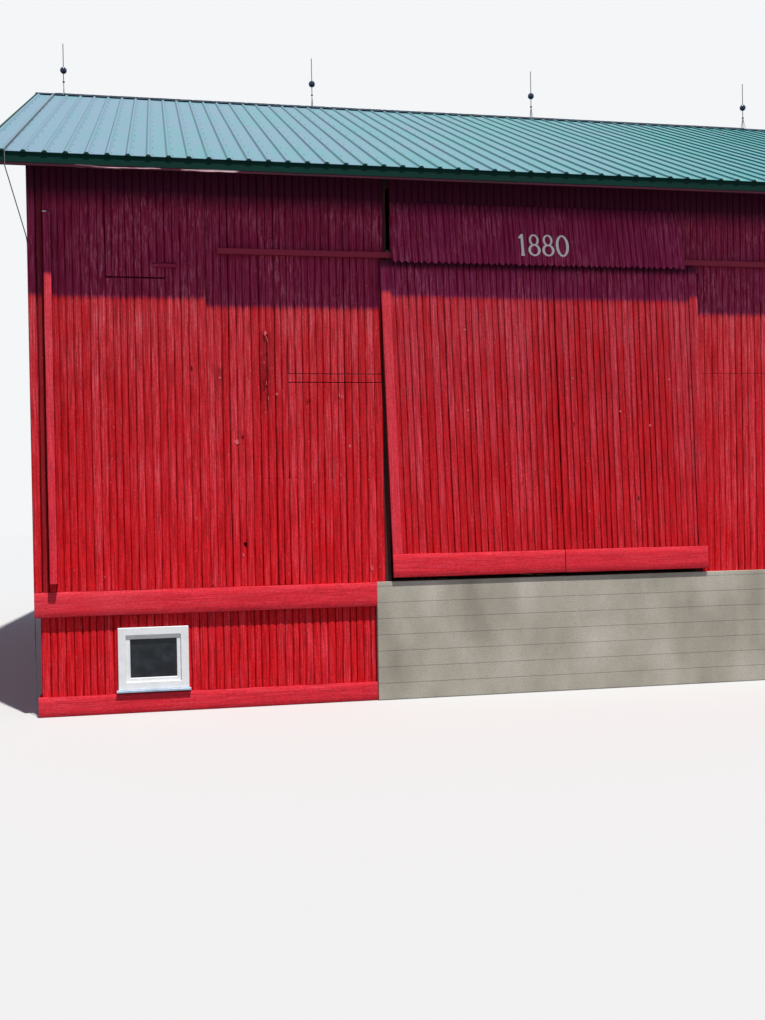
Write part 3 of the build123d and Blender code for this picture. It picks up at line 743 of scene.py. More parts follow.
# %% [markdown]
# ## Walls of the main storey
# The front wall has narrow boards, about 90 mm from joint to joint. The left part carries a second
# layer, and a hatch is cut through both. Two saw cuts and a patch show where a lower opening
# was closed. The other walls repeat the same boards, plain, because the view doesn't show them.

# %% Walls of boards
board_pitch = 0.090
board_uneven = 0.14
board_thickness = 0.03
wall_shape = {"edge": 0.015, "groove": 0.0105, "wander": 0.0018, "rows": 14, "bow": 0.002}
cut_gap = 0.010
fine_cut_gap = 0.004
faint_gap = 0.0
side_cut = 4.054
hatch_sides = (-5.418, -4.726)
hatch_ends = (5.140, 6.120)
worn_joints = (-3.985, -3.620, -3.437, -2.582)
worn_joint_width = 0.005
patch_start = -3.282
patch_joint = -2.753
patch_cuts = (3.919, 4.023)
low_cut_start = -3.620
low_cut = 2.752
doorway_side = -2.115
doorway_top = 5.360
second_layer = (-6.200, -4.248)
second_layer_crack = 0.016
# The first board of the second layer, beside the boxed strip, is dark: dirty paint and the strip's painted
# shadow.
first_board_look = (-1.0, 1.0, 0.4)
roof_slope = 3.05 / 6.80
front_paints = [barn_paint, bare_back]


def cut(runs, heights, gap=cut_gap):
    """Runs of a board after saw cuts at some heights."""
    for height in heights:
        runs = [part for low, high in runs for part in (
            [(low, height - gap / 2), (height + gap / 2, high)] if low < height < high else [(low, high)])]
    return runs


def front_left_runs(low, high):
    """Boards left of the doorway: the hatch's hole, the two cuts and the long joint."""
    def runs(middle):
        whole = [(low, high)]
        if hatch_sides[0] < middle < hatch_sides[1]:
            whole = [(low, hatch_ends[0]), (hatch_ends[1], high)]
        if middle > doorway_side:
            whole = [(doorway_top, high)]
        if middle > patch_start:
            whole = cut(whole, patch_cuts)
        if middle > low_cut_start:
            whole = cut(whole, (low_cut,), faint_gap)
        return whole
    return runs


def front_left_wall():
    """Boards left of the doorway, with the second layer at the corner."""
    low, high = size_of("front_wall_left")
    rng = np.random.default_rng(11)
    pile = new_pile()
    fixed = (*hatch_sides, *worn_joints, patch_start, patch_joint, doorway_side)
    joints = joints_between(low[0], high[0], board_pitch, board_uneven, rng, fixed)
    board_row(pile, upright("front", wall_face), joints, front_left_runs(low[2], high[2]),
              wall_face + high[1], rng, open_joints=[(joint, worn_joint_width) for joint in worn_joints],
              **wall_shape)
    joints = joints_between(*second_layer, board_pitch, board_uneven, rng, hatch_sides)
    proud = -low[1] - wall_face
    looks = [first_board_look, *(some_look(rng) for _ in joints[2:])]
    board_row(pile, upright("front", -low[1]), joints, front_left_runs(low[2], high[2] - roof_slope * proud),
              proud, rng, looks=looks, open_joints=((second_layer[0], second_layer_crack),), **wall_shape)
    raise_piece("front_left_boards", pile, front_paints, "front_wall_left")
    return joints, looks


def plain_wall(pile, side, box, seed, cuts=(), fixed=(), top=None, **changes):
    """Adds a wall of boards on one side of a box."""
    start, end, inner, outer = reach_of(side, box)
    rng = np.random.default_rng(seed)
    joints = joints_between(start, end, board_pitch, board_uneven, rng, fixed)
    whole = [(box[0][2], top or box[1][2])]
    board_row(pile, upright(side, outer), joints, lambda middle: cut(whole, cuts, fine_cut_gap),
              outer - inner, rng, **{**wall_shape, **changes})


def both_ends(name, node, seeds, right_start=None, **changes):
    """The left and right wall of one node as one piece."""
    low, high = size_of(node)
    pile = new_pile()
    for side, seed, x, y in (("left", seeds[0], low[0], low[1]),
                             ("right", seeds[1], high[0] - board_thickness, right_start or low[1])):
        plain_wall(pile, side, ([x, y, low[2]], [x + board_thickness, high[1], high[2]]), seed, **changes)
    raise_piece(name, pile, [gable_paint, bare_back], node)


def under_roof(across):
    """Upper end of a gable board, where it meets the roof's deck."""
    return gable_top - np.abs(across) * roof_slope


wall_face = -size_of("front_wall_right")[0][1]
gable_top = size_of("gable_walls")[1][2]
second_joints, second_looks = front_left_wall()
for name, side, node, seed, cuts in (("front_right_boards", "front", "front_wall_right", 12, (side_cut,)),
                                     ("front_head_boards", "front", "front_wall_head", 13, ()),
                                     ("back_boards", "back", "back_wall", 14, (side_cut,))):
    pile = new_pile()
    plain_wall(pile, side, size_of(node), seed, cuts)
    raise_piece(name, pile, front_paints, node)
both_ends("gable_boards", "gable_walls", (21, 22), fixed=(0.0,), top=under_roof)

# %% [markdown]
# ## Knots, scars and a knot hole
# Paint comes off a knot first, because resin pushes it off, and the bare wood there is pale with a
# dark heart. One knot has fallen out and left a hole. Each is a small flat solid with an uneven
# outline, set in the face of its board, at the listed places of the largest ones.

# %% Knots
knot_points = 14
knot_depth = 0.014
knot_proud = 0.0006
kind_proud = 0.0004
streak_flakes = 18
streak_reach = 0.035
streak_drop = 0.95
dark_share = 0.55
knot_uneven = 0.22
flake_widths = (0.008, 0.013)
flake_heights = (0.03, 0.10)
PALE, DARK, HOLE = 0, 1, 2
# Each knot: its place across and up the wall, its width, its height and its kind.
wall_knots = [
    (-3.545, 4.510, 0.034, 0.060, PALE), (-3.526, 4.490, 0.022, 0.040, DARK),
    (-3.560, 4.470, 0.014, 0.050, DARK), (-4.100, 3.970, 0.026, 0.030, PALE),
    (-3.418, 3.778, 0.030, 0.040, PALE), (-3.911, 3.200, 0.046, 0.056, PALE),
    (-3.838, 3.260, 0.032, 0.036, DARK), (-3.017, 3.706, 0.022, 0.022, DARK),
    (-2.533, 3.141, 0.024, 0.040, PALE), (-3.831, 1.969, 0.040, 0.048, HOLE),
    (-3.858, 1.837, 0.018, 0.046, PALE), (-2.285, 1.634, 0.026, 0.060, PALE),
    (-2.655, 3.765, 0.010, 0.060, PALE), (-2.630, 3.750, 0.010, 0.070, PALE),
    (-2.606, 3.745, 0.010, 0.050, PALE),
]
leaf_knots = {
    "left": [(-1.061, 4.579, 0.024, 0.030, PALE), (-1.040, 3.572, 0.026, 0.034, PALE)],
    "right": [(0.988, 3.556, 0.026, 0.030, PALE), (1.396, 3.375, 0.024, 0.034, PALE),
              (1.668, 3.968, 0.026, 0.030, PALE)],
}


def knot(pile, place, x, z, width, height, kind, rng):
    """Adds one knot: a flat solid with an uneven round outline."""
    turn = np.linspace(0, 2 * math.pi, knot_points, endpoint=False)
    swell = 1 + knot_uneven * rng.uniform(-1, 1, knot_points)
    across = x + width / 2 * swell * np.cos(turn)
    up = z + height / 2 * swell * np.sin(turn)
    points = []
    for d in (-knot_proud - kind_proud * kind, knot_depth):
        points.extend(np.stack(place(across, np.full(knot_points, d), up), axis=-1).tolist())
    add_solid(pile, points, [*band(0, 1, knot_points), lid(0, knot_points), lid(1, knot_points)], kind)


def knots(name, spots, node, body, seed, flakes=0):
    """Raises the knots of one wall or leaf as one piece, with flakes in a streak under the first one."""
    rng = np.random.default_rng(seed)
    pile = new_pile()
    place = upright("front", -size_of(node)[0][1])
    for spot in spots:
        knot(pile, place, *spot, rng)
    for _ in range(flakes):
        across = spots[0][0] + streak_reach * rng.uniform(-1, 1)
        up = spots[0][1] - streak_drop * rng.random()
        knot(pile, place, across, up, rng.uniform(*flake_widths), rng.uniform(*flake_heights),
             DARK if rng.random() < dark_share else PALE, rng)
    raise_piece(name, pile, [bare_knot, dark_knot, knot_hole], body=body)


knots("wall_knots", wall_knots, "front_wall_right", "barn", 91, streak_flakes)
for side, seed in (("left", 92), ("right", 93)):
    knots(f"{side}_leaf_knots", leaf_knots[side], f"{side}_door_panel", f"{side}_door", seed)

# %% [markdown]
# ## Boards round the lower storey
# The low storey has the same narrow boards between a wide skirt board at the floor's level and a
# base board at the ground. The window's casing lines a hole in the front boards.

# %% Lower walls
basement_low, basement_high = size_of("basement_front_wall")
window_low, window_high = size_of("window_frame")
masonry_low, masonry_high = size_of("foundation_wall")
casing_lap = 0.04
hole_sides = (window_low[0] + casing_lap, window_high[0] - casing_lap)
hole_ends = (window_low[2] + casing_lap, window_high[2] - casing_lap)
low_rows = 6


def window_runs(middle):
    """Boards of the lower front wall stop at the window's hole."""
    low, high = basement_low[2], basement_high[2]
    if hole_sides[0] < middle < hole_sides[1]:
        return [(low, hole_ends[0]), (hole_ends[1], high)]
    return [(low, high)]


rng = np.random.default_rng(31)
pile = new_pile()
joints = joints_between(basement_low[0], basement_high[0], board_pitch, board_uneven, rng, hole_sides)
board_row(pile, upright("front", -basement_low[1]), joints, window_runs, basement_high[1] - basement_low[1],
          rng, **{**wall_shape, "rows": low_rows})
raise_piece("lower_front_boards", pile, front_paints, "basement_front_wall")
pile = new_pile()
plain_wall(pile, "back", size_of("basement_back_wall"), 32, rows=low_rows)
raise_piece("lower_back_boards", pile, front_paints, "basement_back_wall")
both_ends("lower_side_boards", "basement_side_walls", (33, 34), masonry_high[1], rows=low_rows)

# %% Skirt, base and corner boards
plank_length = 3.7
corner_width = 0.09
corner_thickness = 0.03
corner_rows = 14
frame_face = -basement_low[1]


def girdle(name, node_front, node_side, front_joints, seed, **shape):
    """A band of planks round the barn, butted at their joints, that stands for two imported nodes."""
    rng = np.random.default_rng(seed)
    low, high = size_of(node_front)
    ring_low, ring_high = size_of(node_side)
    thickness = round(-low[1] - frame_face, 4)
    boxes = {
        "front": (low, [masonry_low[0], low[1] + thickness, high[2]]),
        "back": ([low[0], high[1] - thickness, low[2]], high),
        "left": ([ring_low[0], -frame_face, ring_low[2]],
                 [ring_low[0] + thickness, frame_face, ring_high[2]]),
        "right": ([ring_high[0] - thickness, masonry_high[1], ring_low[2]],
                  [ring_high[0], frame_face, ring_high[2]]),
    }
    pile = new_pile()
    for side, box in boxes.items():
        start, end, inner, outer = reach_of(side, box)
        count = max(1, round((end - start) / plank_length))
        even = [start + (end - start) * number / count for number in range(1, count)]
        marks = [start, *(front_joints if side == "front" else even), end]
        for run in zip(marks[:-1], marks[1:]):
            span = (-box[1][2], -box[0][2])
            trim_board(pile, lying(upright(side, outer)), span, run, outer - inner, rng, **shape)
    raise_piece(name, pile, [trim_paint, bare_back], node_front, node_side, slot="red_trim")


girdle("skirt_planks", "front_and_back_skirt_boards", "side_skirt_boards", (-5.255, -4.825), 41)
girdle("base_planks", "front_and_back_base_boards", "side_base_boards", (-4.1,), 42, wander=0.0)

corner_low, corner_high = size_of("corner_boards")
rng = np.random.default_rng(43)
pile = new_pile()
for side, (along, out) in SIDES.items():
    axis = 0 if along[0] else 1
    end = corner_high[axis]
    reach = end - axis * corner_thickness
    for span in ((-reach, -end + corner_width), (end - corner_width, reach)):
        trim_board(pile, upright(side, corner_high[1 - axis]), span, (corner_low[2], corner_high[2]),
                   corner_thickness, rng, rows=corner_rows)
raise_piece("corner_planks", pile, front_paints, "corner_boards", slot="red_trim")

# %% [markdown]
# ## Sliding leaves
# Each leaf hangs from two wheels and has racked with the years, so its boards lean as it does. Rails
# on the back hold the boards, a stile covers the outer edge, and a smooth board covers the foot.
# The boards near the seam have cupped the most and the other way, with their edges proud, which
# gives the corrugated look. A leaf keeps its packed outline, only its surface is made of boards.

# %% Leaves
leaf_lean = 0.110
leaf_low, leaf_high = size_of("left_door_panel")
leaf_thickness = 0.020
leaf_uneven = 0.16
leaf_edge = 0.014
flat_crown = 0.002
crown_spread = 0.002
rail_width = 0.14
rail_count = 4
stile_width = 0.125
foot_fade = 0.25
stile_fade = 0.4
left_leaf_crack = -1.339


def lean_at(height):
    """How far a leaf has moved to the right at one height."""
    return leaf_lean * (leaf_high[2] - height) / (leaf_high[2] - leaf_low[2])


def leaf_upright(face):
    """Places leaning boards on the front of a leaf."""
    return lambda u, d, v: (u + lean_at(v), d - face, v)


def leaf_rail(face):
    """Places level rails on the back of a leaf, seen from indoors."""
    return lambda u, d, v: (lean_at(-u) - v, face - d, -u)


def leaf(side, seed, cupped, pitch, cracks=()):
    """The boards, rails, stile and foot board of one leaf."""
    low, high = size_of(f"{side}_door_panel")
    left, right = low[0], high[0] - leaf_lean
    body = f"{side}_door"
    rng = np.random.default_rng(seed)
    joints = joints_between(left, right, pitch, leaf_uneven, rng, cracks)

    def crown(middle):
        towards_seam = (middle - left) / (right - left)
        if side == "right":
            towards_seam = 1 - towards_seam
        least = flat_crown + (cupped - flat_crown) * towards_seam
        return least, least + crown_spread

    pile = new_pile()
    board_row(pile, leaf_upright(-low[1]), joints, lambda middle: [(low[2], high[2])], leaf_thickness, rng,
              crown=crown, open_joints=[(crack, worn_joint_width) for crack in cracks],
              **{**wall_shape, "edge": leaf_edge})
    step = (high[2] - rail_width - low[2]) / (rail_count - 1)
    for number in range(rail_count):
        top = -(low[2] + number * step)
        trim_board(pile, leaf_rail(high[1]), (top - rail_width, top), (-right, -left), leaf_thickness, rng)
    raise_piece(f"{side}_leaf_boards", pile, [leaf_paint, bare_back], f"{side}_door_panel", body=body)

    low, high = size_of(f"{side}_door_foot_board")
    pile = new_pile()
    trim_board(pile, lying(leaf_upright(-low[1])), (-high[2], -low[2]), (left, right), high[1] - low[1],
               rng, foot_fade)
    raise_piece(f"{side}_leaf_foot", pile, [trim_paint, trim_paint], f"{side}_door_foot_board", body=body)

    low, high = size_of(f"{side}_door_stile")
    start = left if side == "left" else right - stile_width
    paint = stile_paint if side == "left" else leaf_paint
    pile = new_pile()
    trim_board(pile, leaf_upright(-low[1]), (start, start + stile_width), (low[2], high[2]),
               high[1] - low[1], rng, stile_fade)
    raise_piece(f"{side}_leaf_stile", pile, [paint, paint], f"{side}_door_stile", body=body)


leaf("left", 51, cupped=-0.009, pitch=0.084, cracks=(left_leaf_crack,))
leaf("right", 52, cupped=-0.008, pitch=0.080)

# %% [markdown]
# ## Hood
# The hood over the doorway is a sloping row of boards whose lower ends are cut to points, as on a
# picket fence. It flares away from the wall towards its foot, to throw rain clear of the track.

# %% Hood boards
hood_low, hood_high = size_of("hood_panel")
hood_level_thickness = 0.022
hood_pitch = 0.079
hood_uneven = 0.2
hood_shape = {"edge": 0.016, "groove": 0.0085, "rows": 6}
hood_crowns = (0.002, 0.005)
hood_tilt = 0.003
picket_depth = 0.042
picket_depth_shares = (0.7, 1.2)
picket_curve = 1.1
uneven_foot = 0.006
hood_foot = (hood_low[1], hood_low[2])
hood_rise = (hood_high[1] - hood_level_thickness - hood_low[1], hood_high[2] - hood_low[2])
hood_length = math.hypot(*hood_rise)
hood_up = (hood_rise[0] / hood_length, hood_rise[1] / hood_length)
hood_thickness = hood_level_thickness * hood_up[1]
foot_trim = hood_up[0] * hood_level_thickness


def on_hood(u, d, v):
    """Places boards on the hood's slope, from its foot up."""
    return u, hood_foot[0] + hood_up[0] * v + hood_up[1] * d, hood_foot[1] + hood_up[1] * v - hood_up[0] * d


def picket(left, right, depth, foot):
    """The pointed lower end of one board."""
    middle = (left + right) / 2
    half = (right - left) / 2
    return lambda across: foot + depth * np.abs((across - middle) / half) ** picket_curve


rng = np.random.default_rng(61)
pile = new_pile()
joints = joints_between(hood_low[0], hood_high[0], hood_pitch, hood_uneven, rng)
for left, right in zip(joints[:-1], joints[1:]):
    point = picket(left, right, picket_depth * rng.uniform(*picket_depth_shares),
                   foot_trim + uneven_foot * rng.random())
    look = (rng.random(), 0.0, rng.random())
    board(pile, on_hood, (left, right), (point, hood_length), hood_thickness, look,
          crown=rng.uniform(*hood_crowns), tilt=hood_tilt * rng.uniform(-1, 1), **hood_shape)
raise_piece("hood_boards", pile, [hood_paint, bare_back], "hood_panel")

# %% [markdown]
# ## Numerals on the hood
# A year is painted on the hood. The one here is made up, in simple hand-cut figures with strokes
# that are thick at the sides and thin at top and bottom. They are thin solids, so they also show
# in the mesh, and they lie on the crowned faces of the boards.

# %% Numerals
figures_middle = -0.026
one_place, first_eight_place, second_eight_place, nought_place = -0.290, -0.135, 0.048, 0.238
figures_level = 5.498
figures_foot = (figures_level - hood_foot[1]) / hood_up[1]
figures_height = 0.287
figure_thickness = 0.0025
figure_depth = 0.004
ring_points = 40
lower_loop = 0.158
upper_foot = lower_loop - 0.020
upper_loop = figures_height - upper_foot
upper_lift = 0.0004
# Each oval: its width, its height, and its stroke at the sides and at the ends.
lower_oval = (0.160, lower_loop, 0.033, 0.020)
upper_oval = (0.128, upper_loop, 0.027, 0.018)
nought_oval = (0.172, figures_height, 0.036, 0.021)
one_outline = ((-0.025, 0.0), (0.025, 0.0), (0.017, 0.05), (0.015, 0.287), (-0.013, 0.287),
               (-0.047, 0.242), (-0.041, 0.229), (-0.017, 0.235), (-0.017, 0.05))


def prism(pile, lines, faces, lift=0.0):
    """Adds a flat solid between lines drawn on the hood, each of them at the front and at the back."""
    points = []
    for line in lines:
        for d in (-figure_thickness - lift, figure_depth):
            points.extend(np.stack(on_hood(line[:, 0], 0 * line[:, 0] + d, line[:, 1]), axis=-1).tolist())
    add_solid(pile, points, faces)


def oval(pile, middle, foot, width, height, side_stroke, end_stroke, lift=0.0):
    """An oval stroke, thicker at its sides than at its ends."""
    turn = np.linspace(0, 2 * math.pi, ring_points, endpoint=False)
    lines = [np.stack([middle + (width / 2 - side) * np.cos(turn),
                       foot + height / 2 + (height / 2 - end) * np.sin(turn)], axis=-1)
             for side, end in ((0.0, 0.0), (side_stroke, end_stroke))]
    pairs = ((0, 1), (2, 3), (0, 2), (1, 3))
    prism(pile, lines, [face for pair in pairs for face in band(*pair, ring_points)], lift)


def figure_one(pile, middle, foot):
    """A one with a small flag and a foot that flares."""
    outline = np.array(one_outline) + (middle, foot)
    count = len(outline)
    prism(pile, [outline], [*band(0, 1, count), lid(0, count), lid(1, count)])


pile = new_pile()
figure_one(pile, figures_middle + one_place, figures_foot)
for eight_place in (first_eight_place, second_eight_place):
    middle = figures_middle + eight_place
    oval(pile, middle, figures_foot, *lower_oval)
    oval(pile, middle, figures_foot + upper_foot, *upper_oval, upper_lift)
oval(pile, figures_middle + nought_place, figures_foot, *nought_oval)
raise_piece("numerals", pile, [white_paint], slot="white_frame")

# %% [markdown]
# ## Hatch, latch and boxed strip
# High in the left bay a hatch of the same boards fills its hole. A turned wooden button holds it.
# Near the corner a narrow box of three boards runs up the wall, with a small white cap on top.

# %% Hatch and boxed strip
hatch_low, hatch_high = size_of("hatch")
hatch_gap = 0.006
tight_gap = 0.001
foot_gap = 0.020
hatch_backing = 0.020
backing_end = -4.686
latch_run = (-4.874, -4.571)
latch_heights = (5.262, 5.332)
latch_thickness = 0.022
spindle_tip = 0.28
latch_shape = {"edge": 0.02, "groove": 0.012, "crown": 0.001, "rows": 14}
backing_look = (0.5, 0.0, 0.3)
latch_look = (0.9, 0.0, 0.6)
hatch_face = -size_of("front_wall_left")[0][1]
hatch_depth = hatch_face + hatch_high[1] - hatch_backing
hatch_run = (hatch_ends[0] + foot_gap, hatch_ends[1] - tight_gap)
over_hatch = [number for number, joint in enumerate(second_joints)
              if hatch_sides[0] - tight_gap < joint < hatch_sides[1] + tight_gap]
joints = [second_joints[number] for number in over_hatch]
joints[0] += hatch_gap
joints[-1] -= tight_gap


def spindle(steps):
    """A latch that tapers to both ends."""
    return spindle_tip + (1 - spindle_tip) * np.sqrt(np.clip(1 - (2 * steps - 1) ** 2, 0, 1))


pile = new_pile()
board_row(pile, upright("front", hatch_face), joints, lambda middle: [hatch_run], hatch_depth,
          np.random.default_rng(71), looks=[second_looks[number] for number in over_hatch[:-1]],
          **{**wall_shape, "rows": 6})
board(pile, upright("front", hatch_face - hatch_depth), (hatch_low[0], backing_end),
      (hatch_low[2], hatch_high[2]), hatch_backing, backing_look, **trim_shape)
board(pile, lying(upright("front", hatch_face + latch_thickness)), (-latch_heights[1], -latch_heights[0]),
      latch_run, latch_thickness, latch_look, width_rule=spindle, **latch_shape)
raise_piece("hatch_boards", pile, front_paints, "hatch")

strip_low, strip_high = size_of("boxed_conduit")
strip_board = 0.02
strip_depth = strip_high[1] - strip_low[1] - strip_board
strip_run = (strip_low[2], strip_high[2])
strip_front = upright("front", -strip_low[1])
strip_side_shape = {"edge": 0.003, "groove": 0.003, "rows": 14, "crown": 0.0003}
strip_looks = ((0.95, 0.0, 0.1), (0.7, 0.0, 0.5))
cap_size = (0.045, 0.010)
cap_shape = {"edge": 0.002, "groove": 0.002, "crown": 0.0}
cap_look = (0.5, 0.0, 0.2)
pile = new_pile()
board(pile, strip_front, (strip_low[0], strip_high[0]), strip_run, strip_board, strip_looks[0],
      **{**trim_shape, "rows": corner_rows})
for start in (strip_low[0], strip_high[0] - strip_board):
    board(pile, upright("front", -strip_low[1] - strip_board), (start, start + strip_board), strip_run,
          strip_depth, strip_looks[1], **strip_side_shape)
raise_piece("boxed_strip", pile, [trim_paint, bare_back], "boxed_conduit", slot="red_trim")
pile = new_pile()
board(pile, strip_front, (strip_low[0], strip_low[0] + cap_size[0]),
      (strip_high[2], strip_high[2] + cap_size[1]), strip_board, cap_look, **cap_shape)
raise_piece("strip_cap", pile, [white_paint, white_paint], slot="white_frame")

# %% [markdown]
# ## Threshing floor
# The floor shows when the leaves slide open. It is laid with wide planks across the bays.

# %% Floor planks
floor_low, floor_high = size_of("main_floor")
floor_plank_width = 0.21
floor_uneven = 0.15
floor_shape = {"tilt": 0.001, "edge": 0.006, "groove": 0.006, "rows": 8, "wander": 0.001}
floor_crowns = (0.0005, 0.002)
rng = np.random.default_rng(81)
joints = joints_between(floor_low[0], floor_high[0], floor_plank_width, floor_uneven, rng)
pile = new_pile()
board_row(pile, lambda u, d, v: (u, v, floor_high[2] - d), joints,
          lambda middle: [(floor_low[1], floor_high[1])], floor_high[2] - floor_low[2], rng,
          crown=floor_crowns, **floor_shape)
raise_piece("floor_planks", pile, [floor_planks, bare_back], "main_floor", slot="plank_floor")

# %% [markdown]
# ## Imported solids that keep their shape
# Timbers, roof metal, window, track and rods have the right shape already. They keep it and get
# their finish here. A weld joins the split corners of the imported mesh, and a small bevel rounds its
# edges as wear or a press brake does. The modifiers leave the solids themselves as they are.

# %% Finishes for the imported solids
weld_distance = 0.0001
bevel_angle = math.radians(30)
finishes = [
    (timber["Z"], 0.008, ("inner_posts",)),
    (jamb_timber_drift_and_shade, 0.008, ("wall_posts",)),
    (timber["Y"], 0.008, ("tie_beams", "front_rafters", "back_rafters", "floor_frame")),
    (plate_timber_in_painted_shade, 0.008, ("plates_and_purlins",)),
    (timber["X"], 0.008, ("wall_girts", "front_roof_deck", "back_roof_deck")),
    (soffit_paint_and_shade, 0.003, ("eave_soffits", "rake_soffits", "hood_brackets")),
    (fascia_paint, 0.003, ("fascia_boards", "rake_boards")),
    (green_roof, 0.0, ("front_roof_sheet", "back_roof_sheet")),
    (green_trim_in_painted_shade, 0.001, ("eave_trims",)),
    (green_trim_in_painted_shade, 0.0, ("rake_trims",)),
    (cap_metal, 0.001, ("ridge_cap",)),
    (red_metal, 0.004, ("door_track",)),
    (rusty_steel, 0.001, ("left_door_hangers", "right_door_hangers", "cable_clips")),
    (galvanised, 0.0, ("lightning_rods", "lightning_cable")),
    (ball_glass, 0.0, ("rod_balls",)),
    (white_vinyl, 0.006, ("window_frame", "window_sash")),
    (grey_paint, 0.004, ("window_sill",)),
    (pane_glass_with_room_shade, 0.0, ("window_glass",)),
    (concrete, 0.012, ("foundation_wall",)),
]
for material, bevel, nodes in finishes:
    for node in nodes:
        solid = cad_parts[node]
        for material_slot in solid.material_slots:
            material_slot.material = material
        if bevel:
            weld = solid.modifiers.new("join_corners", "WELD")
            weld.merge_threshold = weld_distance
            soften = solid.modifiers.new("worn_edges", "BEVEL")
            soften.width = bevel
            soften.segments = 2
            soften.angle_limit = bevel_angle
print("packed solids that show:", sum(not solid.hide_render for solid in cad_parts.values()))

# %% [markdown]
# ## Rib end plugs at the eave
# Each rib is hollow, and its end at the eave gets a small plug that is cut to the rib's outline.
# The plugs are as dark as the trim: painted shade for the dark hollow inside each rib. They stand on
# the trim in a row of small bumps.

# %% Rib end plugs in painted shade
roof_half = size_of("front_roof_sheet")[1][0]
eave_height = 6.440
eave_run = 6.80
plug_outline = ((-0.034, 0.0), (-0.013, 0.021), (0.013, 0.021), (0.034, 0.0))
plug_depth = 0.010
plug_drop = 0.002
plug_proud = {-1: 0.006, 1: -0.0005}
plug_faces = [*band(0, 1, 4), lid(0, 4), lid(1, 4)]
rib_places = [rib_place + (rib - 1) * rib_pitch for rib in range(int(2 * roof_half / rib_pitch))]
pile = new_pile()
for side in (-1, 1):
    front = eave_run + plug_proud[side]
    for x in rib_places:
        points = [(x + side * across, side * y, eave_height - plug_drop + up)
                  for y in (front, front - plug_depth) for across, up in plug_outline]
        add_solid(pile, points, plug_faces)
raise_piece("rib_end_plugs_in_painted_shade", pile, [green_trim_in_painted_shade], slot="green_metal")

# %% [markdown]
# ## Roof screws
# The sheet is held by screws with a rubber washer, one beside each rib at each batten. They are one
# joined mesh: a washer and a hexagonal head, copied to every place.

# %% Roof screws
screw_beside_rib = 0.048
batten_spacing = 0.61
first_batten = 0.12
washer_radius = 0.009
washer_edge = 0.0015
washer_top = 0.0028
head_radius = 0.0045
head_spread = 1.3
head_heights = (0.0020, 0.0075)
slope_angle = math.atan(roof_slope)
slope_length = math.hypot(eave_run, roof_slope * eave_run)


def turned(profile, sides):
    """Points and faces of a small turned part, from radius and height pairs."""
    turn = np.linspace(0, 2 * math.pi, sides, endpoint=False)
    points = [(radius * math.cos(angle), radius * math.sin(angle), height)
              for radius, height in profile for angle in turn]
    faces = [face for ring in range(len(profile) - 1) for face in band(ring, ring + 1, sides)]
    return np.array(points), [*faces, lid(len(profile) - 1, sides), lid(0, sides)]


washer_profile = ((washer_radius, 0.0), (washer_radius, washer_edge), (head_radius * head_spread, washer_top))
washer = turned(washer_profile, 8)
screw_head = turned([(head_radius, height) for height in head_heights], 6)
pile = new_pile()
for side in (-1, 1):
    axis = Vector((0, side * math.sin(slope_angle), math.cos(slope_angle)))
    upwards = np.array(axis.to_track_quat("Z", "Y").to_matrix())
    for x in rib_places:
        for batten in range(int(slope_length / batten_spacing)):
            up = first_batten + batten * batten_spacing
            spot = np.array((x + screw_beside_rib, side * (eave_run - up * math.cos(slope_angle)),
                             eave_height + up * math.sin(slope_angle)))
            for points, faces in (washer, screw_head) if spot[0] < roof_half - washer_radius else ():
                add_solid(pile, (points @ upwards.T + spot).tolist(), faces)
raise_piece("roof_screws", pile, [green_roof], slot="green_metal")

# %% [markdown]
# ## Stage, light and camera
# The floor is plain and pale. A soft key light comes from high on the right, as the sun does in the
# view, and an even sky fills the rest, so that a colour renders about as it is written. The white
# background is seen by the camera and in reflections only, and gives the barn no light.

# %% Stage and light
stage_half = 80.0
stage_drop = 0.002
sky_light = 0.34
key_strength = 5.4
key_angle = 1.2
to_key = Vector((0.15, -0.33, 1.0))

floor_mesh = bpy.data.meshes.new("stage_floor")
floor_corners = [(x * stage_half, y * stage_half, -stage_drop)
                 for x, y in ((-1, -1), (1, -1), (1, 1), (-1, 1))]
floor_mesh.from_pydata(floor_corners, [], [(0, 1, 2, 3)])
stage_floor = bpy.data.objects.new("stage_floor", floor_mesh)
bpy.context.scene.collection.objects.link(stage_floor)
stage_paint, tree, shader = new_finish("pale_studio_floor")
looked_at = add(tree, "ShaderNodeLightPath", {}, "Is Camera Ray")
fill(shader, {"Base Color": blend(tree, looked_at, "#80807e", "#b9b8b5"), "Roughness": 0.95,
              "Specular IOR Level": 0.1})
floor_mesh.materials.append(stage_paint)

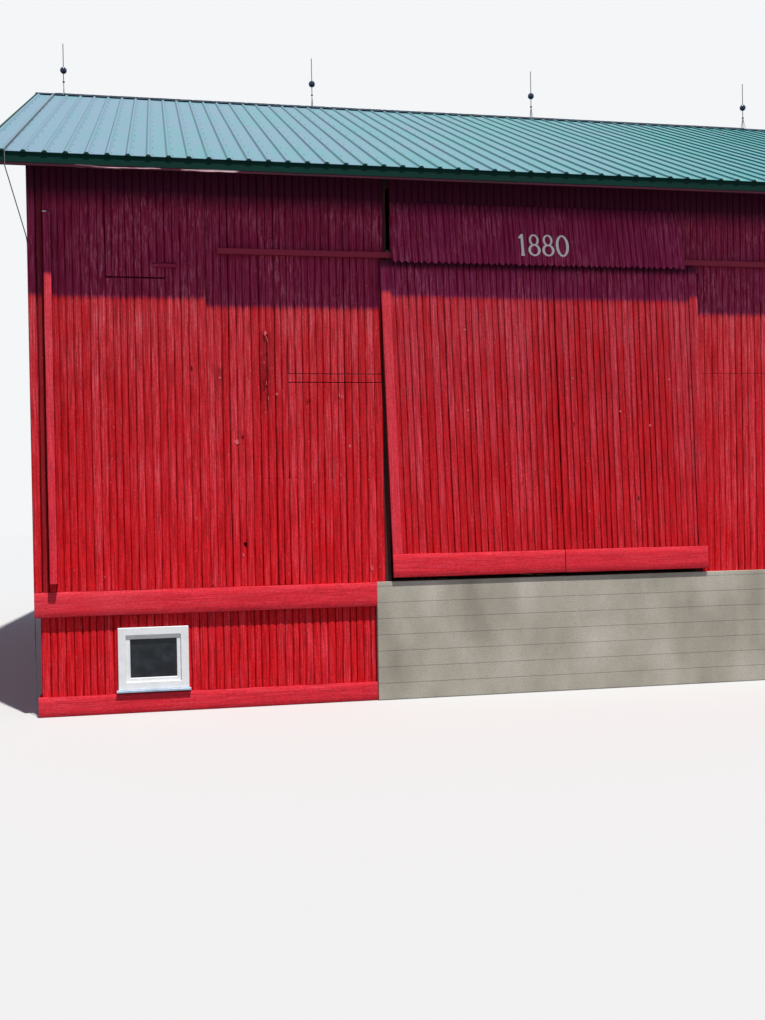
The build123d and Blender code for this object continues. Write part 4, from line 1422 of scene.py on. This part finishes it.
world = bpy.data.worlds.new("studio")
bpy.context.scene.world = world
world.use_nodes = True
sky = world.node_tree
sky.nodes.clear()
seen = add(sky, "ShaderNodeLightPath", {}).node.outputs
direct = calc(sky, "MAXIMUM", calc(sky, "MAXIMUM", seen["Is Camera Ray"], seen["Is Glossy Ray"]),
              seen["Is Transmission Ray"])
even_sky = add(sky, "ShaderNodeBackground", {"Color": "#cfdcff", "Strength": sky_light})
backdrop = add(sky, "ShaderNodeBackground", {"Color": "#f4f6f8", "Strength": 1.0})
world_output = sky.nodes.new("ShaderNodeOutputWorld")
fill(world_output, {"Surface": add(sky, "ShaderNodeMixShader", {0: direct, 1: even_sky, 2: backdrop})})

key = bpy.data.lights.new("soft_key", "SUN")
key.energy = key_strength
key.angle = math.radians(key_angle)
key_light = bpy.data.objects.new("soft_key", key)
key_light.rotation_mode = "QUATERNION"
key_light.rotation_quaternion = to_key.to_track_quat("Z", "Y")
bpy.context.scene.collection.objects.link(key_light)
bpy.context.scene.view_settings.view_transform = "Standard"
print("lamps:", [lamp.name for lamp in bpy.data.lights if lamp.users])

# %% Camera
camera_place = Vector((-4.821, -19.878, 2.468))
camera_yaw = math.radians(11.17)
camera_pitch = math.radians(-0.50)
camera_roll = math.radians(-1.01)
focal_pixels = 1120.0
frame_pixels = 1020.0
sensor = 36.0
view_end = 400
ahead = Vector((math.sin(camera_yaw) * math.cos(camera_pitch), math.cos(camera_yaw) * math.cos(camera_pitch),
                math.sin(camera_pitch)))
level_right = Vector((math.cos(camera_yaw), -math.sin(camera_yaw), 0.0))
level_up = level_right.cross(ahead)
right_way = level_right * math.cos(camera_roll) + level_up * math.sin(camera_roll)
up_way = level_up * math.cos(camera_roll) - level_right * math.sin(camera_roll)
camera_data = bpy.data.cameras.new("view")
camera_data.sensor_width = sensor
camera_data.lens = focal_pixels / frame_pixels * sensor
camera_data.clip_end = view_end
camera = bpy.data.objects.new("view", camera_data)
turned_view = Matrix((right_way, up_way, -ahead)).transposed().to_4x4()
camera.matrix_world = Matrix.Translation(camera_place) @ turned_view
bpy.context.scene.collection.objects.link(camera)
bpy.context.scene.camera = camera
print("lens:", round(camera_data.lens, 2), "mm")
